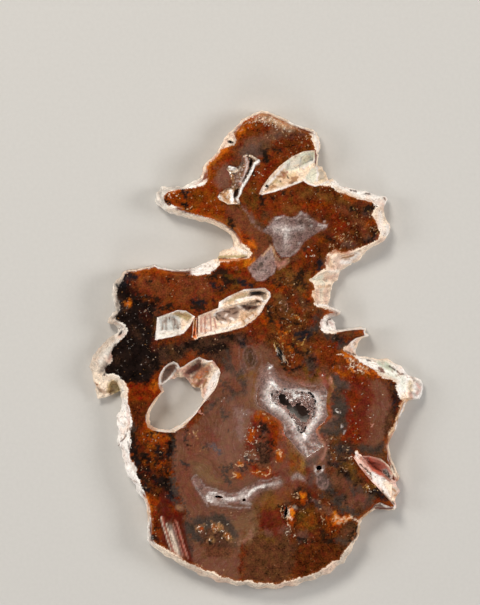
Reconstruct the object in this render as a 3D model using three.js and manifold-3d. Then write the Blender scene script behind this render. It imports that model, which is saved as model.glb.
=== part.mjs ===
// A slab of moss agate, sawn right through a quartz-lined hollow and polished on one face.
// It lies on its sawn back. Units are millimetres: +Z is up, out of the polished face, +Y runs
// towards the narrow crown, and the origin is under the middle of the slab, on its back.
import * as THREE from "three";
import { ConvexGeometry } from "three/addons/geometries/ConvexGeometry.js";
import { mergeVertices } from "three/addons/utils/BufferGeometryUtils.js";
import Module from "manifold-3d";

// Driving dimensions
const SLAB_LENGTH = 150;
const SLAB_THICKNESS = 9;
const BACK_Z = 0;
const FACE_Z = SLAB_THICKNESS;
const CLEAR = 1; // how far a cutter reaches past the surface that it cuts
const CRUST_GAP = 0.35; // between a crystal crust and the stone that it lines

// Outlines were read off a photograph by eye, in its pixels, and are scaled to the real length.
const PHOTO_LEFT = 89.5;
const PHOTO_RIGHT = 423.5;
const PHOTO_TOP = 110;
const PHOTO_BOTTOM = 590;
const MM_PER_PIXEL = SLAB_LENGTH / (PHOTO_BOTTOM - PHOTO_TOP);
const PHOTO_MIDDLE = [(PHOTO_LEFT + PHOTO_RIGHT) / 2, (PHOTO_TOP + PHOTO_BOTTOM) / 2];

// The stone's edge, clockwise from the crown. Each row is a point of the broken outer edge and
// the point of the polished face's edge that it slopes down from.
const CROWN_RIGHT = [
  [262, 110, 261, 113.5], [268, 111.5, 268, 114], [275, 114, 274, 116.5], [283, 117, 281, 120],
  [288, 119.5, 286, 122], [293, 123, 291, 125], [300, 125.5, 299, 127.5], [307, 127.5, 305, 130],
  [314, 130, 310.5, 132], [317.5, 132.5, 313, 135], [318.5, 137, 312.5, 139], [320.5, 143, 315, 143],
  [319.5, 149, 316, 149], [317, 153, 315.5, 152.5], [318.5, 154.5, 317, 155], [318, 160, 316.5, 160],
  [317.5, 165.5, 315.5, 167], [322, 167, 320.5, 168.5], [325, 171, 323, 172.5], [327, 176, 325, 177.5],
  [329, 179.5, 327, 183.5],
];
const RIGHT_HORN = [
  [333, 178, 331, 184], [336, 181, 334.5, 187], [340, 185, 338.5, 190.5], [345, 187, 343, 191.5],
  [352, 188, 350, 195.5], [360, 190, 358, 198], [368, 191.5, 365, 199.5], [374, 193.5, 371, 201.5],
  [380, 196, 376, 204], [386, 197, 379.5, 205.5], [387.5, 199, 379.8, 206.5], [386, 204, 378.5, 207.5],
  [384, 210, 376.5, 209], [385, 216, 374.5, 214], [387, 220, 376, 219], [390.5, 225, 378, 224],
  [389.5, 231, 380, 229], [388, 236, 381.5, 233], [385, 240, 380.5, 238], [379, 243, 377, 241.5],
  [372, 247, 369, 245], [366, 251, 362, 248.5], [362, 256, 357, 251], [360, 260, 350, 253.5],
  [352, 264, 342, 255], [345, 268.5, 336, 251.5], [341, 270.5, 329, 256.5], [340, 272.5, 327.5, 270.5],
];
const RIGHT_WAIST = [
  [339.5, 275, 321, 273.5], [338, 279, 309.5, 280], [334, 282.5, 316, 286], [332, 287, 319, 287.5],
  [330.5, 292, 313.5, 291], [330, 296, 313, 295.5], [329, 300, 315.5, 300], [328, 305, 315, 304.5],
  [334, 308, 329, 309.5], [340.5, 311.5, 335.5, 312.5], [338, 315.5, 334, 314.5], [333, 316.5, 329, 314.7],
  [329, 318.5, 325, 317], [332, 319.5, 321.8, 319.5], [335, 323, 320.5, 323], [335, 326, 321.5, 327],
  [337, 330, 325, 331], [339, 330, 336, 332.5], [345, 329.5, 345, 331], [353, 328.5, 353, 330],
  [361, 328, 361, 329.5], [366, 328.5, 364, 330], [365, 331, 364, 332], [366, 334, 364.3, 334.3],
  [369, 335.5, 364, 335.7], [365, 337, 360, 337], [361, 338.5, 356, 338], [360, 341, 351, 341.5],
  [357.5, 346, 347, 346], [356, 350, 344.5, 350], [356, 354, 348.5, 352.5], [358.5, 357, 354.5, 356.5],
];
const RIGHT_SHOULDER = [
  [362, 357.5, 358.5, 360], [367, 357.5, 363.5, 364], [374, 359, 369, 366.5], [381, 359.5, 374, 369.5],
  [387, 359, 379, 374], [393, 362, 385, 377], [399, 365.5, 391, 378.5], [404, 370, 396, 380.5],
  [409, 375, 397, 384], [415, 377.5, 397.5, 387], [421, 380.5, 398.5, 390], [423, 385, 399.5, 392],
  [423.5, 391, 400.5, 394], [420.5, 398.5, 403, 397.5], [414, 399, 404.5, 399.5], [409, 400.5, 405.5, 401],
  [405.5, 405, 402.5, 404], [404, 410, 401, 409], [401, 415, 399, 414], [398.5, 420, 396.8, 419.5],
  [397.5, 425, 395, 425], [396, 430, 393.5, 430], [392.5, 435, 390.5, 434], [390, 440, 388.5, 440],
  [388.5, 446, 387, 446], [390, 453, 387.5, 453],
];
const RIGHT_FOOT = [
  [392, 460, 388, 459.5], [395, 467, 390.5, 466.5], [398, 473, 392, 472], [400, 476, 394, 476.5],
  [399, 480, 395, 479.5], [396, 483.5, 394, 482.3], [398, 488, 395, 486], [400, 492.5, 397, 491],
  [397.5, 496, 395, 495], [395.2, 499.5, 393.5, 499], [395.5, 504, 393.5, 503.5], [396.5, 507.5, 394, 506.5],
  [395, 510, 392, 507.5], [388, 510.8, 386, 505], [381, 510, 380, 502.5], [375, 510, 375, 504.5],
  [371, 512, 370.5, 510], [366, 516, 364.5, 514.5], [362, 520, 360, 518.5], [360, 525, 358, 524.5],
  [359.8, 531, 357.5, 531], [359.5, 536, 357, 536],
];
const FOOT = [
  [357, 540, 354.5, 539.5], [353, 546, 350, 544.5], [352, 552, 347.5, 550.5], [347, 557.5, 343, 554.5],
  [344, 564, 339.5, 560], [336, 567.5, 333.5, 563], [331, 574, 327.5, 568.5], [322, 576.5, 320, 571],
  [315, 581, 312.5, 575.5], [304, 582, 303, 577.5], [296, 587, 293, 581.5], [286, 586.5, 285, 582.5],
  [276, 590, 276, 585], [266, 588.5, 266.5, 583.5], [256, 589.5, 257, 584.5], [246, 585.5, 248, 581.5],
  [236, 587, 237, 582], [226, 583, 228.5, 578.5], [217, 582.5, 219.5, 577.5], [209, 577.5, 212, 573],
  [199, 576, 203, 571], [192, 570.5, 195.5, 566], [182, 567, 186, 562.5], [175, 561.5, 178.5, 557.5],
  [166, 557, 171, 553.5], [159, 551.5, 164, 549.5], [152.5, 547, 157.5, 545.5],
];
const LEFT_FOOT = [
  [147, 541, 152, 540.5], [147.5, 535, 151.5, 535], [147, 528, 151, 528], [148, 520, 151.5, 521],
  [147, 512, 150, 513], [146, 505, 148.5, 505.5], [144, 500, 146.5, 500], [140, 496.5, 143, 494],
  [136, 491, 141, 488], [135.5, 486, 139, 483.5], [131, 481, 135.5, 479], [127, 476, 134.5, 474],
  [125, 470, 135, 469], [124, 464, 132, 463], [122.5, 458, 129.5, 457], [121.5, 451, 129, 450],
  [118, 446, 130, 444], [116.5, 440, 130, 438], [117, 433, 130, 432.5], [117.5, 428, 130.5, 427],
  [116, 421, 130, 422], [116, 415, 130, 416], [120, 412.5, 129, 411.5], [121, 408, 127.5, 407],
  [121.5, 402, 126.5, 402], [120.5, 395, 126.5, 396.5],
];
const LEFT_LOBE = [
  [119.5, 390, 126.5, 390.5], [114, 394, 123, 381.5], [108, 396.5, 118, 377], [103, 398, 113, 375.5],
  [98, 398.5, 108, 375.8], [96, 394, 105, 374.5], [95, 387, 104, 372], [93, 380, 103.5, 370],
  [91.5, 373, 104, 368], [89.5, 367, 105, 366], [91, 360, 108, 362.5], [93, 355, 110.5, 359],
  [96, 350.5, 110, 354], [100, 346, 112, 349], [105, 342, 114.5, 345.5], [110, 338, 118, 342],
  [115, 335, 122, 338], [118, 332, 125.5, 334], [118, 328, 127, 330], [116, 325.5, 124, 326],
  [112, 323.5, 119, 323.3], [107, 322.5, 114.5, 321], [108.5, 318.5, 114, 318], [112, 314, 115.5, 315],
  [115.5, 310.5, 118.5, 311], [114.5, 306, 118.5, 306], [113.5, 301, 116.5, 301], [112, 295, 115.5, 296],
  [112, 288, 115, 291], [113.5, 283, 118, 286], [118, 279, 122, 281], [121, 276, 123.5, 277.5],
  [122, 272.5, 124.5, 273.5], [127, 270.3, 128, 271.7],
];
const LEFT_SHOULDER = [
  [135, 270, 135, 271.2], [141, 268.5, 141, 270], [148, 267, 148, 268.7], [154, 264.7, 154, 267],
  [158, 267.5, 158, 269], [165, 268.5, 165, 269.8], [172, 270, 172, 271.2], [180, 269.7, 180, 272],
  [187, 269, 187, 272.5], [194, 268, 194, 273], [201, 265, 202, 272.5], [207, 261.5, 210, 272],
  [213, 259.5, 216, 269], [217, 258.5, 218.5, 264], [218.5, 256, 218.8, 260.5], [220, 252.5, 224, 260],
  [224, 250, 232, 260], [228, 248.5, 240, 260], [232, 247, 248, 257], [233.3, 244, 251.5, 253.5],
];
const LEFT_HORN = [
  [233.3, 241, 246, 249], [232.5, 238, 240.3, 244], [231.5, 235, 240.5, 239], [228, 232, 237, 233.5],
  [223, 229, 232, 228.5], [217, 225.5, 225, 224.5], [211, 223, 217, 221], [204, 220.8, 209, 219],
  [197, 219.5, 201, 216], [190, 218, 193, 214.5], [183, 216, 186, 211.5], [176, 214.5, 179, 209],
  [170, 213, 173, 208], [164, 209.5, 168, 206], [159, 205, 164.5, 202.5], [155, 200.5, 163.5, 199],
  [156, 196, 164, 195], [156.5, 193, 166, 192.5], [159.5, 190.5, 168, 191], [161.5, 186.5, 171, 190],
  [168, 186.5, 176, 189.5], [175, 187, 181, 189], [182, 187, 186, 188.5], [188, 184, 190, 186.5],
  [194, 180.5, 197, 184.5], [200, 178, 203.5, 181.5], [202, 172, 206.5, 178], [203, 168, 207.5, 173],
];
const CROWN_LEFT = [
  [204.5, 164.5, 206.7, 167], [208, 160, 209.5, 162], [213, 156.5, 214.3, 158.5], [217, 152, 218.3, 153.3],
  [220, 147, 221.5, 148.3], [222, 143, 225, 145.5], [224.5, 138, 234, 145], [227, 134, 236.5, 140],
  [230.5, 131, 233, 133], [234, 128.5, 236, 130.5], [237, 125, 239.5, 127.5], [240, 122, 242, 123.5],
  [242, 119.5, 243.5, 121], [248, 116.5, 248.5, 118.3], [254, 113.5, 255, 115.5], [258, 112, 258.5, 114],
];
const STONE_EDGE = [
  CROWN_RIGHT, RIGHT_HORN, RIGHT_WAIST, RIGHT_SHOULDER, RIGHT_FOOT, FOOT,
  LEFT_FOOT, LEFT_LOBE, LEFT_SHOULDER, LEFT_HORN, CROWN_LEFT,
].flat();

// The big oval window. Each row is a point of its clear outline, a point of its edge on the face,
// and how hollow the wall between them is: 0 on a ridge, 1 down the middle of a groove.
const WINDOW_EDGE = [
  [161.5, 388, 160, 389, 0.2], [160.5, 385.5, 158.5, 384, 0.4], [163, 384, 158.7, 378, 0.8],
  [166.5, 382, 160.2, 373, 1], [170, 380, 163.7, 367.5, 1], [173, 379, 168.5, 363.5, 1],
  [175.5, 378, 173.5, 361.3, 0.8], [177, 377.3, 177.8, 363.2, 0.2], [178.5, 377, 180, 367.7, 0],
  [180.5, 377, 184, 366, 0.5], [183, 377.5, 188.8, 362.4, 0.9], [186, 378.6, 193.7, 359.8, 1],
  [188.5, 380.2, 199, 356.8, 1], [190, 382.6, 203.2, 358.7, 0.8], [190.7, 384.8, 208, 360.7, 0.2],
  [192.7, 386.3, 212, 360.1, 0], [195, 387, 214.5, 362, 0.3], [197.5, 387, 217, 366, 0.6],
  [199.7, 388.2, 219.3, 368.7, 0.5], [200.8, 390.5, 220.5, 372.5, 0.1], [201.3, 393, 219, 378.5, 0],
  [201.7, 395.5, 217.3, 384.5, 0], [202.2, 397.5, 214.2, 390.3, 0], [203.4, 400, 209.8, 395.7, 0],
  [202, 404, 206, 400, 0], [198, 410, 200.5, 407, 0], [194, 414.5, 196.8, 412.8, 0],
  [189, 419, 191.7, 418.5, 0], [184, 423, 187, 423.8, 0], [178, 427, 180.5, 428.6, 0],
  [172, 430, 174.5, 432.4, 0], [165, 430.5, 166, 432.5, 0], [158, 430, 158, 431.5, 0],
  [153, 428, 152, 430, 0], [150, 425, 148, 427.5, 0], [148.5, 420, 146, 422, 0],
  [149, 414, 146, 415, 0], [151, 409, 148.5, 408.5, 0], [154, 404, 152, 403, 0],
  [157, 399, 155.5, 398, 0], [160, 395, 159, 394.5, 0], [163, 392, 161.5, 391.5, 0],
];

// The quartz hollow. Each row is a point where quartz meets agate, the point of the clear slot
// that it faces, and the share of the way between them that was sawn flush with the face.
const HOLLOW_EDGE = [
  [268, 362, 276.5, 388, 0.93], [273, 366, 277.5, 389.5, 0.93], [277, 371, 278.3, 391.3, 0.92],
  [281, 376, 279.5, 392.8, 0.88], [286, 378.8, 283, 393, 0.68], [291, 380.3, 285, 395, 0.5],
  [296, 382.5, 287, 397.5, 0.38], [300, 384.5, 288.8, 399.5, 0.3], [304, 385.8, 289.8, 402, 0.25],
  [308, 386.7, 291, 404.7, 0.2], [312, 387, 292.5, 406.5, 0.18], [316, 386, 295, 404.5, 0.27],
  [320, 384, 298, 402.4, 0.4], [324, 386, 300.3, 402, 0.44], [327, 391, 302.5, 404.3, 0.45],
  [326.5, 397, 305, 406.8, 0.43], [326, 403, 308, 409.3, 0.53], [326, 409, 310, 411, 0.65],
  [328, 415, 310.2, 414, 0.73], [325, 421, 309.8, 418.5, 0.78], [319.5, 425, 308.5, 420.5, 0.78],
  [315.5, 430, 307, 422.3, 0.77], [316, 436, 306, 423.5, 0.8], [318, 441, 305, 424, 0.83],
  [323, 445.5, 304.3, 423.5, 0.83], [317, 450, 303.5, 422.8, 0.74], [307, 457, 302.5, 422, 0.63],
  [300, 452.5, 301, 420.8, 0.57], [296, 447, 299, 419.2, 0.56], [291, 441, 296.5, 417.3, 0.7],
  [285.5, 436, 293.5, 415.5, 0.76], [283.5, 430, 291, 413.3, 0.8], [284.5, 424, 289, 411, 0.8],
  [280, 420, 287, 409, 0.8], [274, 416.5, 285, 407, 0.8], [269, 413, 283, 405.3, 0.78],
  [264, 409.5, 280.7, 405.5, 0.75], [259.5, 407, 279.3, 403, 0.66], [256.8, 401, 278.8, 400, 0.6],
  [256.5, 395, 278.8, 397, 0.58], [258, 388, 278.5, 394.3, 0.6], [260.5, 380, 277.8, 392, 0.72],
  [263, 371, 277, 390, 0.86],
];

// The shallow hollow in the crown, the crevices in its crust, and the crest lines of the crust's
// two ridges.
const VUG_EDGE = [
  [261.5, 160], [260, 163], [256, 165], [253.5, 170], [250.5, 176], [247.5, 182], [243.5, 188], [242, 193],
  [238.5, 198], [240, 202], [241, 204.5], [234, 204], [228, 204.5], [224, 202], [219.5, 200], [217.5, 197],
  [220, 192.5], [225, 189.5], [230, 187], [232.5, 183], [230.5, 178], [229.5, 173], [226.5, 169],
  [228, 165.5], [232, 166], [236, 167.5], [240, 165], [242, 160], [243, 155.5], [247, 154], [251, 154.5],
  [255, 157], [258.5, 159],
];
const VUG_CREVICES = [
  [[249.5, 157], [253, 160], [252, 167], [249.5, 172], [248.8, 171], [250, 164]],
  [[249, 170], [251, 171], [245, 184], [242.5, 186], [242.3, 183], [246, 177]],
  [[235, 188.5], [239.4, 189], [239.8, 193], [236.5, 198], [234.5, 200], [233.5, 195]],
];
const VUG_RIDGES = [
  [[249.5, 156.3], [255.5, 159.3], [259.3, 161.4], [254.5, 164.3], [252.3, 169.5], [249, 175.5], [246, 181],
    [242.3, 187], [240.6, 190.5], [240.5, 194]],
  [[245.5, 156.5], [248, 161], [247.5, 168], [244.5, 176], [240.5, 183.5]],
  [[229.5, 167.2], [233, 168], [238, 169.3]],
];

// Casts left where flat-faced crystals dissolved. Each is a convex blade: its outline on the face,
// then the corners of its floor as x, y and depth in millimetres.
const CASTS = [
  { // the long blade in the crown
    rim: [[259, 194], [262, 187], [270, 176], [280, 165.5], [292, 156.5], [303, 151.5], [314.5, 150],
      [315.3, 157], [315, 166], [304, 181], [290, 186.5], [275, 191.8], [262, 195]],
    floor: [[266, 189, 1.6], [287, 171.5, 3.6], [301, 165, 4.4], [313, 159, 4.8], [306, 174, 3.2]],
  },
  { // the facet beside it, open at the stone's edge
    rim: [[303, 181], [308, 184.5], [315, 186.7], [322, 185], [328, 182.5], [332, 178], [329, 166],
      [318, 163], [309, 166]],
    floor: [[311, 176, 3.4], [316, 182, 3.2], [326, 176, 4.8], [324, 168, 5.4]],
  },
  { // the small blade at mid height
    rim: [[157, 317.5], [164, 316], [171, 313], [178, 310], [186, 310.7], [195, 316.5], [190, 326],
      [184, 333], [172, 337], [155, 340], [158, 328]],
    floor: [[162.5, 331, 3], [161.5, 318.5, 3], [172, 315.5, 3.4], [179, 330, 3.8], [182, 314, 2.8],
      [190, 318, 1.6]],
  },
  { // the large blade beside it
    rim: [[198, 337.5], [198, 316], [208, 312], [219, 307.5], [240, 301.5], [258, 297.5], [267, 301],
      [262, 311], [255, 319], [243, 327], [230, 331], [212, 334.8]],
    floor: [[204, 331, 3], [204.5, 316.5, 3], [214, 324, 4.2], [235, 306, 4.2], [257, 301, 5.4],
      [248, 311, 5.2], [232, 321, 4.4]],
  },
  { // the ledge along its upper side
    rim: [[218, 309], [219, 302], [228, 296.5], [236, 293], [244, 289.3], [256, 288.7], [265, 288],
      [270, 292], [270.5, 297], [266, 304], [250, 305]],
    floor: [[223, 303.5, 1.2], [242, 294, 2.4], [259, 291, 4], [266, 293.5, 3.4], [262, 298, 2],
      [238, 304, 1.8]],
  },
  { // the slot between the two blades
    rim: [[192, 337.5], [193.7, 318.5], [196.7, 318], [196, 338.3]],
    floor: [[193.7, 335, 1.8], [195.2, 320, 1.8], [195, 335, 1.8]],
  },
  { // the bright plane at the right foot, open at the stone's edge
    rim: [[370, 470.5], [381, 470.5], [391, 478], [399, 484], [404, 493], [402, 506], [395, 506.5],
      [390.3, 501], [382, 489.5], [372, 481.5]],
    floor: [[374, 477.5, 1.5], [386, 481.5, 2.4], [404, 492, 4], [397, 504, 3.2], [384, 489, 2]],
  },
  { // its narrow arm
    rim: [[353.5, 457.5], [357, 452.7], [361, 454.5], [372, 469], [374, 484], [366, 475], [359, 466]],
    floor: [[358, 456.5, 0.8], [365, 466, 1.4], [371.5, 477, 1.6]],
  },
  { // the deep red recess above the plane
    rim: [[362.5, 456], [370, 456], [381, 458.8], [388.5, 465], [394, 473], [391, 482], [380, 477],
      [370, 471]],
    floor: [[369, 462, 3.6], [378, 470, 4.8], [385, 465.5, 4], [389, 476, 5.2]],
  },
  { // the notch under the left lobe
    rim: [[106.5, 393], [108, 384.5], [112, 379.8], [117, 380.5], [120, 387], [123, 393], [114, 401]],
    floor: [[109, 392, 6.4], [111, 384, 6], [116.5, 383.5, 6], [118.5, 390, 6.6], [113, 399, 6.8]],
  },
];

// Small pits in the face: x, y, half length, half width, turn in degrees and depth in millimetres.
const PITS = [
  [319, 468, 3.2, 2.9, 0, 5], [286, 512, 5.6, 1.7, 80, 3.4], [219, 497, 4.2, 1.5, -8, 3],
  [244, 500, 1.9, 1.6, 0, 2], [281, 355, 9, 2.6, -62, 1.8], [338, 411, 3.8, 2.2, -35, 1.2],
  [267, 186, 2, 1.8, 0, 6.4], [96.5, 385, 2, 1.8, 0, 6.6], [230.5, 141.5, 3.2, 1.6, -35, 4.2],
];

const wasm = await Module();
wasm.setup();

// A photograph's pixel as a point of the part, at height z.
function at([x, y], z) {
  return new THREE.Vector3(
    (x - PHOTO_MIDDLE[0]) * MM_PER_PIXEL, (PHOTO_MIDDLE[1] - y) * MM_PER_PIXEL, z);
}

// A repeatable scatter between -1 and 1 for the whole numbers a and b.
function scatter(a, b) {
  const wave = Math.sin(a * 127.1 + b * 311.7) * 43758.5453;
  return 2 * (wave - Math.floor(wave)) - 1;
}

// A closed three.js geometry as a solid that can be joined and cut.
function solidFrom(geometry) {
  const bare = geometry.clone();
  bare.deleteAttribute("normal");
  bare.deleteAttribute("uv");
  const merged = mergeVertices(bare, 1e-4);
  return new wasm.Manifold(new wasm.Mesh({
    numProp: 3,
    vertProperties: merged.attributes.position.array,
    triVerts: new Uint32Array(merged.index.array),
  }));
}

function geometryFrom(solid) {
  const mesh = solid.getMesh();
  const geometry = new THREE.BufferGeometry();
  geometry.setAttribute("position", new THREE.BufferAttribute(mesh.vertProperties, 3));
  geometry.setIndex(new THREE.BufferAttribute(mesh.triVerts, 1));
  geometry.computeVertexNormals();
  return geometry;
}

// A solid skinned through rings of equal length, the lowest first, each clockwise from above.
function loft(rings) {
  const count = rings[0].length;
  const upright = rings.map((ring) => ring.toReversed());
  const index = [];
  for (let level = 0; level + 1 < rings.length; level++)
    for (let i = 0; i < count; i++) {
      const a = level * count + i;
      const b = level * count + ((i + 1) % count);
      index.push(a, b, b + count, a, b + count, a + count);
    }
  const lid = (level, flip) => {
    const flat = upright[level].map((p) => new THREE.Vector2(p.x, p.y));
    for (const face of THREE.ShapeUtils.triangulateShape(flat, []))
      index.push(...(flip ? face.toReversed() : face).map((i) => level * count + i));
  };
  lid(0, true);
  lid(rings.length - 1, false);
  const geometry = new THREE.BufferGeometry().setFromPoints(upright.flat());
  geometry.setIndex(index);
  return solidFrom(geometry);
}

// A ring part of the way along each row's pair of points, from the first point to the second.
function ringBetween(rows, share, z) {
  return rows.map(([ax, ay, bx, by], i) => {
    const s = typeof share === "function" ? share(i) : share;
    return at([ax + (bx - ax) * s, ay + (by - ay) * s], typeof z === "function" ? z(i) : z);
  });
}

// A ring drawn in by a distance all round, square to its sides.
function inset(ring, distance) {
  const sides = ring.map((p, i) => ring[(i + 1) % ring.length].clone().sub(p).setZ(0).normalize());
  const inwards = sides.map((side) => new THREE.Vector3(side.y, -side.x, 0));
  return ring.map((p, i) => {
    const before = inwards.at(i - 1);
    const corner = before.clone().add(inwards[i]).divideScalar(1 + before.dot(inwards[i]));
    return p.clone().addScaledVector(corner, distance);
  });
}

// The broken edge of the stone: share of the way in from the outer edge, share of the thickness,
// and how far its corners wander along and up the wall, as shares of the rim and the thickness.
const WALL_LEVELS = [
  { inwards: 0.2, height: 0, wander: 0.12, rise: 0 },
  { inwards: 0, height: 0.3, wander: 0, rise: 0.08 },
  { inwards: 0.16, height: 0.5, wander: 0.1, rise: 0.06 },
  { inwards: 0.42, height: 0.68, wander: 0.14, rise: 0.06 },
  { inwards: 0.76, height: 0.85, wander: 0.12, rise: 0.05 },
  { inwards: 1, height: 1, wander: 0, rise: 0 },
];

function brokenStone() {
  return loft(WALL_LEVELS.map(({ inwards, height, wander, rise }, level) => ringBetween(
    STONE_EDGE,
    (i) => inwards + wander * scatter(i, level),
    (i) => SLAB_THICKNESS * (height + rise * scatter(i, level + 20)),
  )));
}

function windowCutter() {
  const wall = (share, z) => ringBetween(WINDOW_EDGE, share, z);
  const hollowed = (ridge, groove) => (i) => ridge + (groove - ridge) * WINDOW_EDGE[i][4];
  return loft([
    wall(0.12, BACK_Z - CLEAR), wall(0.12, BACK_Z), wall(0, 0.2 * FACE_Z),
    wall(hollowed(0.36, 0.84), 0.5 * FACE_Z), wall(hollowed(0.72, 0.97), 0.8 * FACE_Z),
    wall(1, FACE_Z), wall(1, FACE_Z + CLEAR),
  ]);
}

// A convex cutter between an outline above the face and the corners of a floor below it.
function castCutter({ rim, floor }) {
  return solidFrom(new ConvexGeometry([
    ...rim.map((p) => at(p, FACE_Z)),
    ...rim.map((p) => at(p, FACE_Z + CLEAR)),
    ...floor.map(([x, y, depth]) => at([x, y], FACE_Z - depth)),
  ]));
}

function pitCutter([x, y, halfLength, halfWidth, turn, depth]) {
  const pit = new THREE.IcosahedronGeometry(1, 1);
  pit.scale(halfLength * MM_PER_PIXEL, halfWidth * MM_PER_PIXEL, depth);
  pit.rotateZ(THREE.MathUtils.degToRad(turn));
  const { x: px, y: py } = at([x, y], 0);
  pit.translate(px, py, FACE_Z);
  return solidFrom(pit);
}

// The funnel that the quartz lines, drawn in by a gap for the crust itself.
const FUNNEL_LEVELS = [[0.62, BACK_Z], [0.5, 0.3 * FACE_Z], [0.22, 0.7 * FACE_Z], [0, FACE_Z]];

function funnel(gap, reach) {
  const rings = FUNNEL_LEVELS.map(([share, z]) => inset(ringBetween(HOLLOW_EDGE, share, z), gap));
  const shifted = (ring, dz) => ring.map((p) => p.clone().setZ(p.z + dz));
  return reach ? loft([shifted(rings[0], -reach), ...rings, shifted(rings.at(-1), reach)]) : loft(rings);
}

function vugCutter(gap, floorZ, topZ) {
  const ring = (z) => inset(VUG_EDGE.map((p) => at(p, z)), gap);
  return loft([ring(floorZ), ring(topZ)]);
}

// A six-sided quartz point standing on a spot and leaning along a direction.
function quartzPoint(foot, lean, radius, length, turn) {
  const point = new THREE.ConeGeometry(radius, length, 6);
  point.rotateY(turn);
  point.translate(0, length / 2 - radius, 0);
  const upright = new THREE.Vector3(0, 1, 0);
  point.applyQuaternion(new THREE.Quaternion().setFromUnitVectors(upright, lean.clone().normalize()));
  point.translate(foot.x, foot.y, foot.z);
  return solidFrom(point);
}

// The slab: a broken stone with the window, the hollows, the casts and the pits cut out of it.
const VUG_DEPTH = 3;

function agateSlab() {
  const cutters = [
    windowCutter(), funnel(0, CLEAR), vugCutter(0, FACE_Z - VUG_DEPTH, FACE_Z + CLEAR),
    ...CASTS.map(castCutter), ...PITS.map(pitCutter),
  ];
  return cutters.reduce((stone, cutter) => stone.subtract(cutter), brokenStone());
}

// The druse: a quartz lining that is flush with the face outside and falls to the slot inside,
// with quartz points standing on its slope.
const SLOPE_ROWS = [0.12, 0.52, 0.96]; // shares of the slope where quartz points stand
const SLOT_Z = 0.34 * FACE_Z;

function quartzDruse() {
  const flush = (i) => HOLLOW_EDGE[i][4];
  const bowl = loft([
    ringBetween(HOLLOW_EDGE, 0.9, BACK_Z - CLEAR), ringBetween(HOLLOW_EDGE, 0.9, BACK_Z),
    ringBetween(HOLLOW_EDGE, 1, SLOT_Z),
    ringBetween(HOLLOW_EDGE, (i) => flush(i) + 0.45 * (1 - flush(i)), 0.68 * FACE_Z),
    ringBetween(HOLLOW_EDGE, flush, FACE_Z), ringBetween(HOLLOW_EDGE, flush, FACE_Z + CLEAR),
  ]);
  const lining = funnel(CRUST_GAP, 0);
  const points = SLOPE_ROWS.flatMap((along, row) => HOLLOW_EDGE.map((edge, i) => {
    if ((i + row) % 2) return null;
    const share = flush(i) + (1 - flush(i)) * along;
    const [foot] = ringBetween([edge], share, FACE_Z + (SLOT_Z - FACE_Z) * along);
    const [hole] = ringBetween([edge], 1, 0);
    const lean = new THREE.Vector3(hole.x - foot.x, hole.y - foot.y, 0).normalize();
    lean.add(new THREE.Vector3(0.4 * scatter(i, row), 0.4 * scatter(i, row + 7), 0.9));
    const radius = 0.75 + 0.2 * scatter(i, row + 11);
    return quartzPoint(foot, lean, radius, 2.1 * radius, scatter(i, row + 13));
  })).filter(Boolean);
  const crust = points.reduce((sum, point) => sum.add(point), lining.subtract(bowl));
  return crust.intersect(lining);
}

// A sharp ridge along a crest line, standing on the level zFoot.
const RIDGE_HALF_WIDTH = 0.62;

function ridge(crest, zFoot, zTop) {
  const spots = crest.map((p) => at(p, zFoot));
  return spots.slice(1).map((end, i) => {
    const start = spots[i];
    const side = new THREE.Vector3(start.y - end.y, end.x - start.x, 0).setLength(RIDGE_HALF_WIDTH);
    const beyond = end.clone().sub(start).setLength(0.2);
    return solidFrom(new ConvexGeometry([
      start.clone().add(side), start.clone().sub(side), end.clone().add(side), end.clone().sub(side),
      start.clone().sub(beyond).setZ(zTop), end.clone().add(beyond).setZ(zTop - 0.15),
    ]));
  });
}

// The crown's crust: a low bed of fine points, cut by crevices, with its ridges standing on it.
function crownCrust() {
  const floorZ = FACE_Z - VUG_DEPTH + CRUST_GAP;
  const bedZ = FACE_Z - 1.2;
  const bed = vugCutter(CRUST_GAP, floorZ, bedZ);
  const room = vugCutter(CRUST_GAP, floorZ, FACE_Z - 0.1);
  const crevices = VUG_CREVICES.map((outline) => solidFrom(new ConvexGeometry([
    ...outline.map((p) => at(p, FACE_Z + CLEAR)), ...outline.map((p) => at(p, floorZ + 0.6)),
  ])));
  const points = [];
  for (let x = 219; x < 262; x += 4.6)
    for (let y = 156; y < 206; y += 4.6) {
      const foot = at([x + 1.6 * scatter(x, y), y + 1.6 * scatter(y, x)], bedZ);
      const lean = new THREE.Vector3(0.5 * scatter(x, y + 1), 0.5 * scatter(x + 1, y), 1);
      points.push(quartzPoint(foot, lean, 0.8, 1.7, scatter(x, 2 * y)));
    }
  const ridges = VUG_RIDGES.flatMap((crest) => ridge(crest, bedZ - 0.3, FACE_Z - 0.15));
  const cut = crevices.reduce((sum, crevice) => sum.subtract(crevice), points.reduce(
    (sum, point) => sum.add(point), bed));
  const grown = ridges.reduce((sum, crest) => sum.add(crest), cut).intersect(room);
  return grown.decompose().sort((a, b) => b.volume() - a.volume())[0];
}

const finishes = {
  agate: new THREE.MeshStandardMaterial({ color: 0x7a3a1c, roughness: 0.18, metalness: 0 }),
  quartz: new THREE.MeshStandardMaterial({ color: 0xd9d0d2, roughness: 0.22, metalness: 0 }),
  crust: new THREE.MeshStandardMaterial({ color: 0xb9a797, roughness: 0.4, metalness: 0 }),
};

function piece(name, solid, finish) {
  const mesh = new THREE.Mesh(geometryFrom(solid), finish);
  mesh.name = name;
  return mesh;
}

const part = new THREE.Group();
part.add(
  piece("agate_slab", agateSlab(), finishes.agate),
  piece("quartz_druse", quartzDruse(), finishes.quartz),
  piece("crown_crust", crownCrust(), finishes.crust),
);

export default part;
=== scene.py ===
"""Looks of a polished slab of moss agate, cut through a quartz-lined hollow and lying on its sawn back."""
import math
import random

import bmesh
import bpy
import numpy as np
from mathutils import Matrix, Vector, noise
from mathutils.bvhtree import BVHTree
from mathutils.kdtree import KDTree


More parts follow.
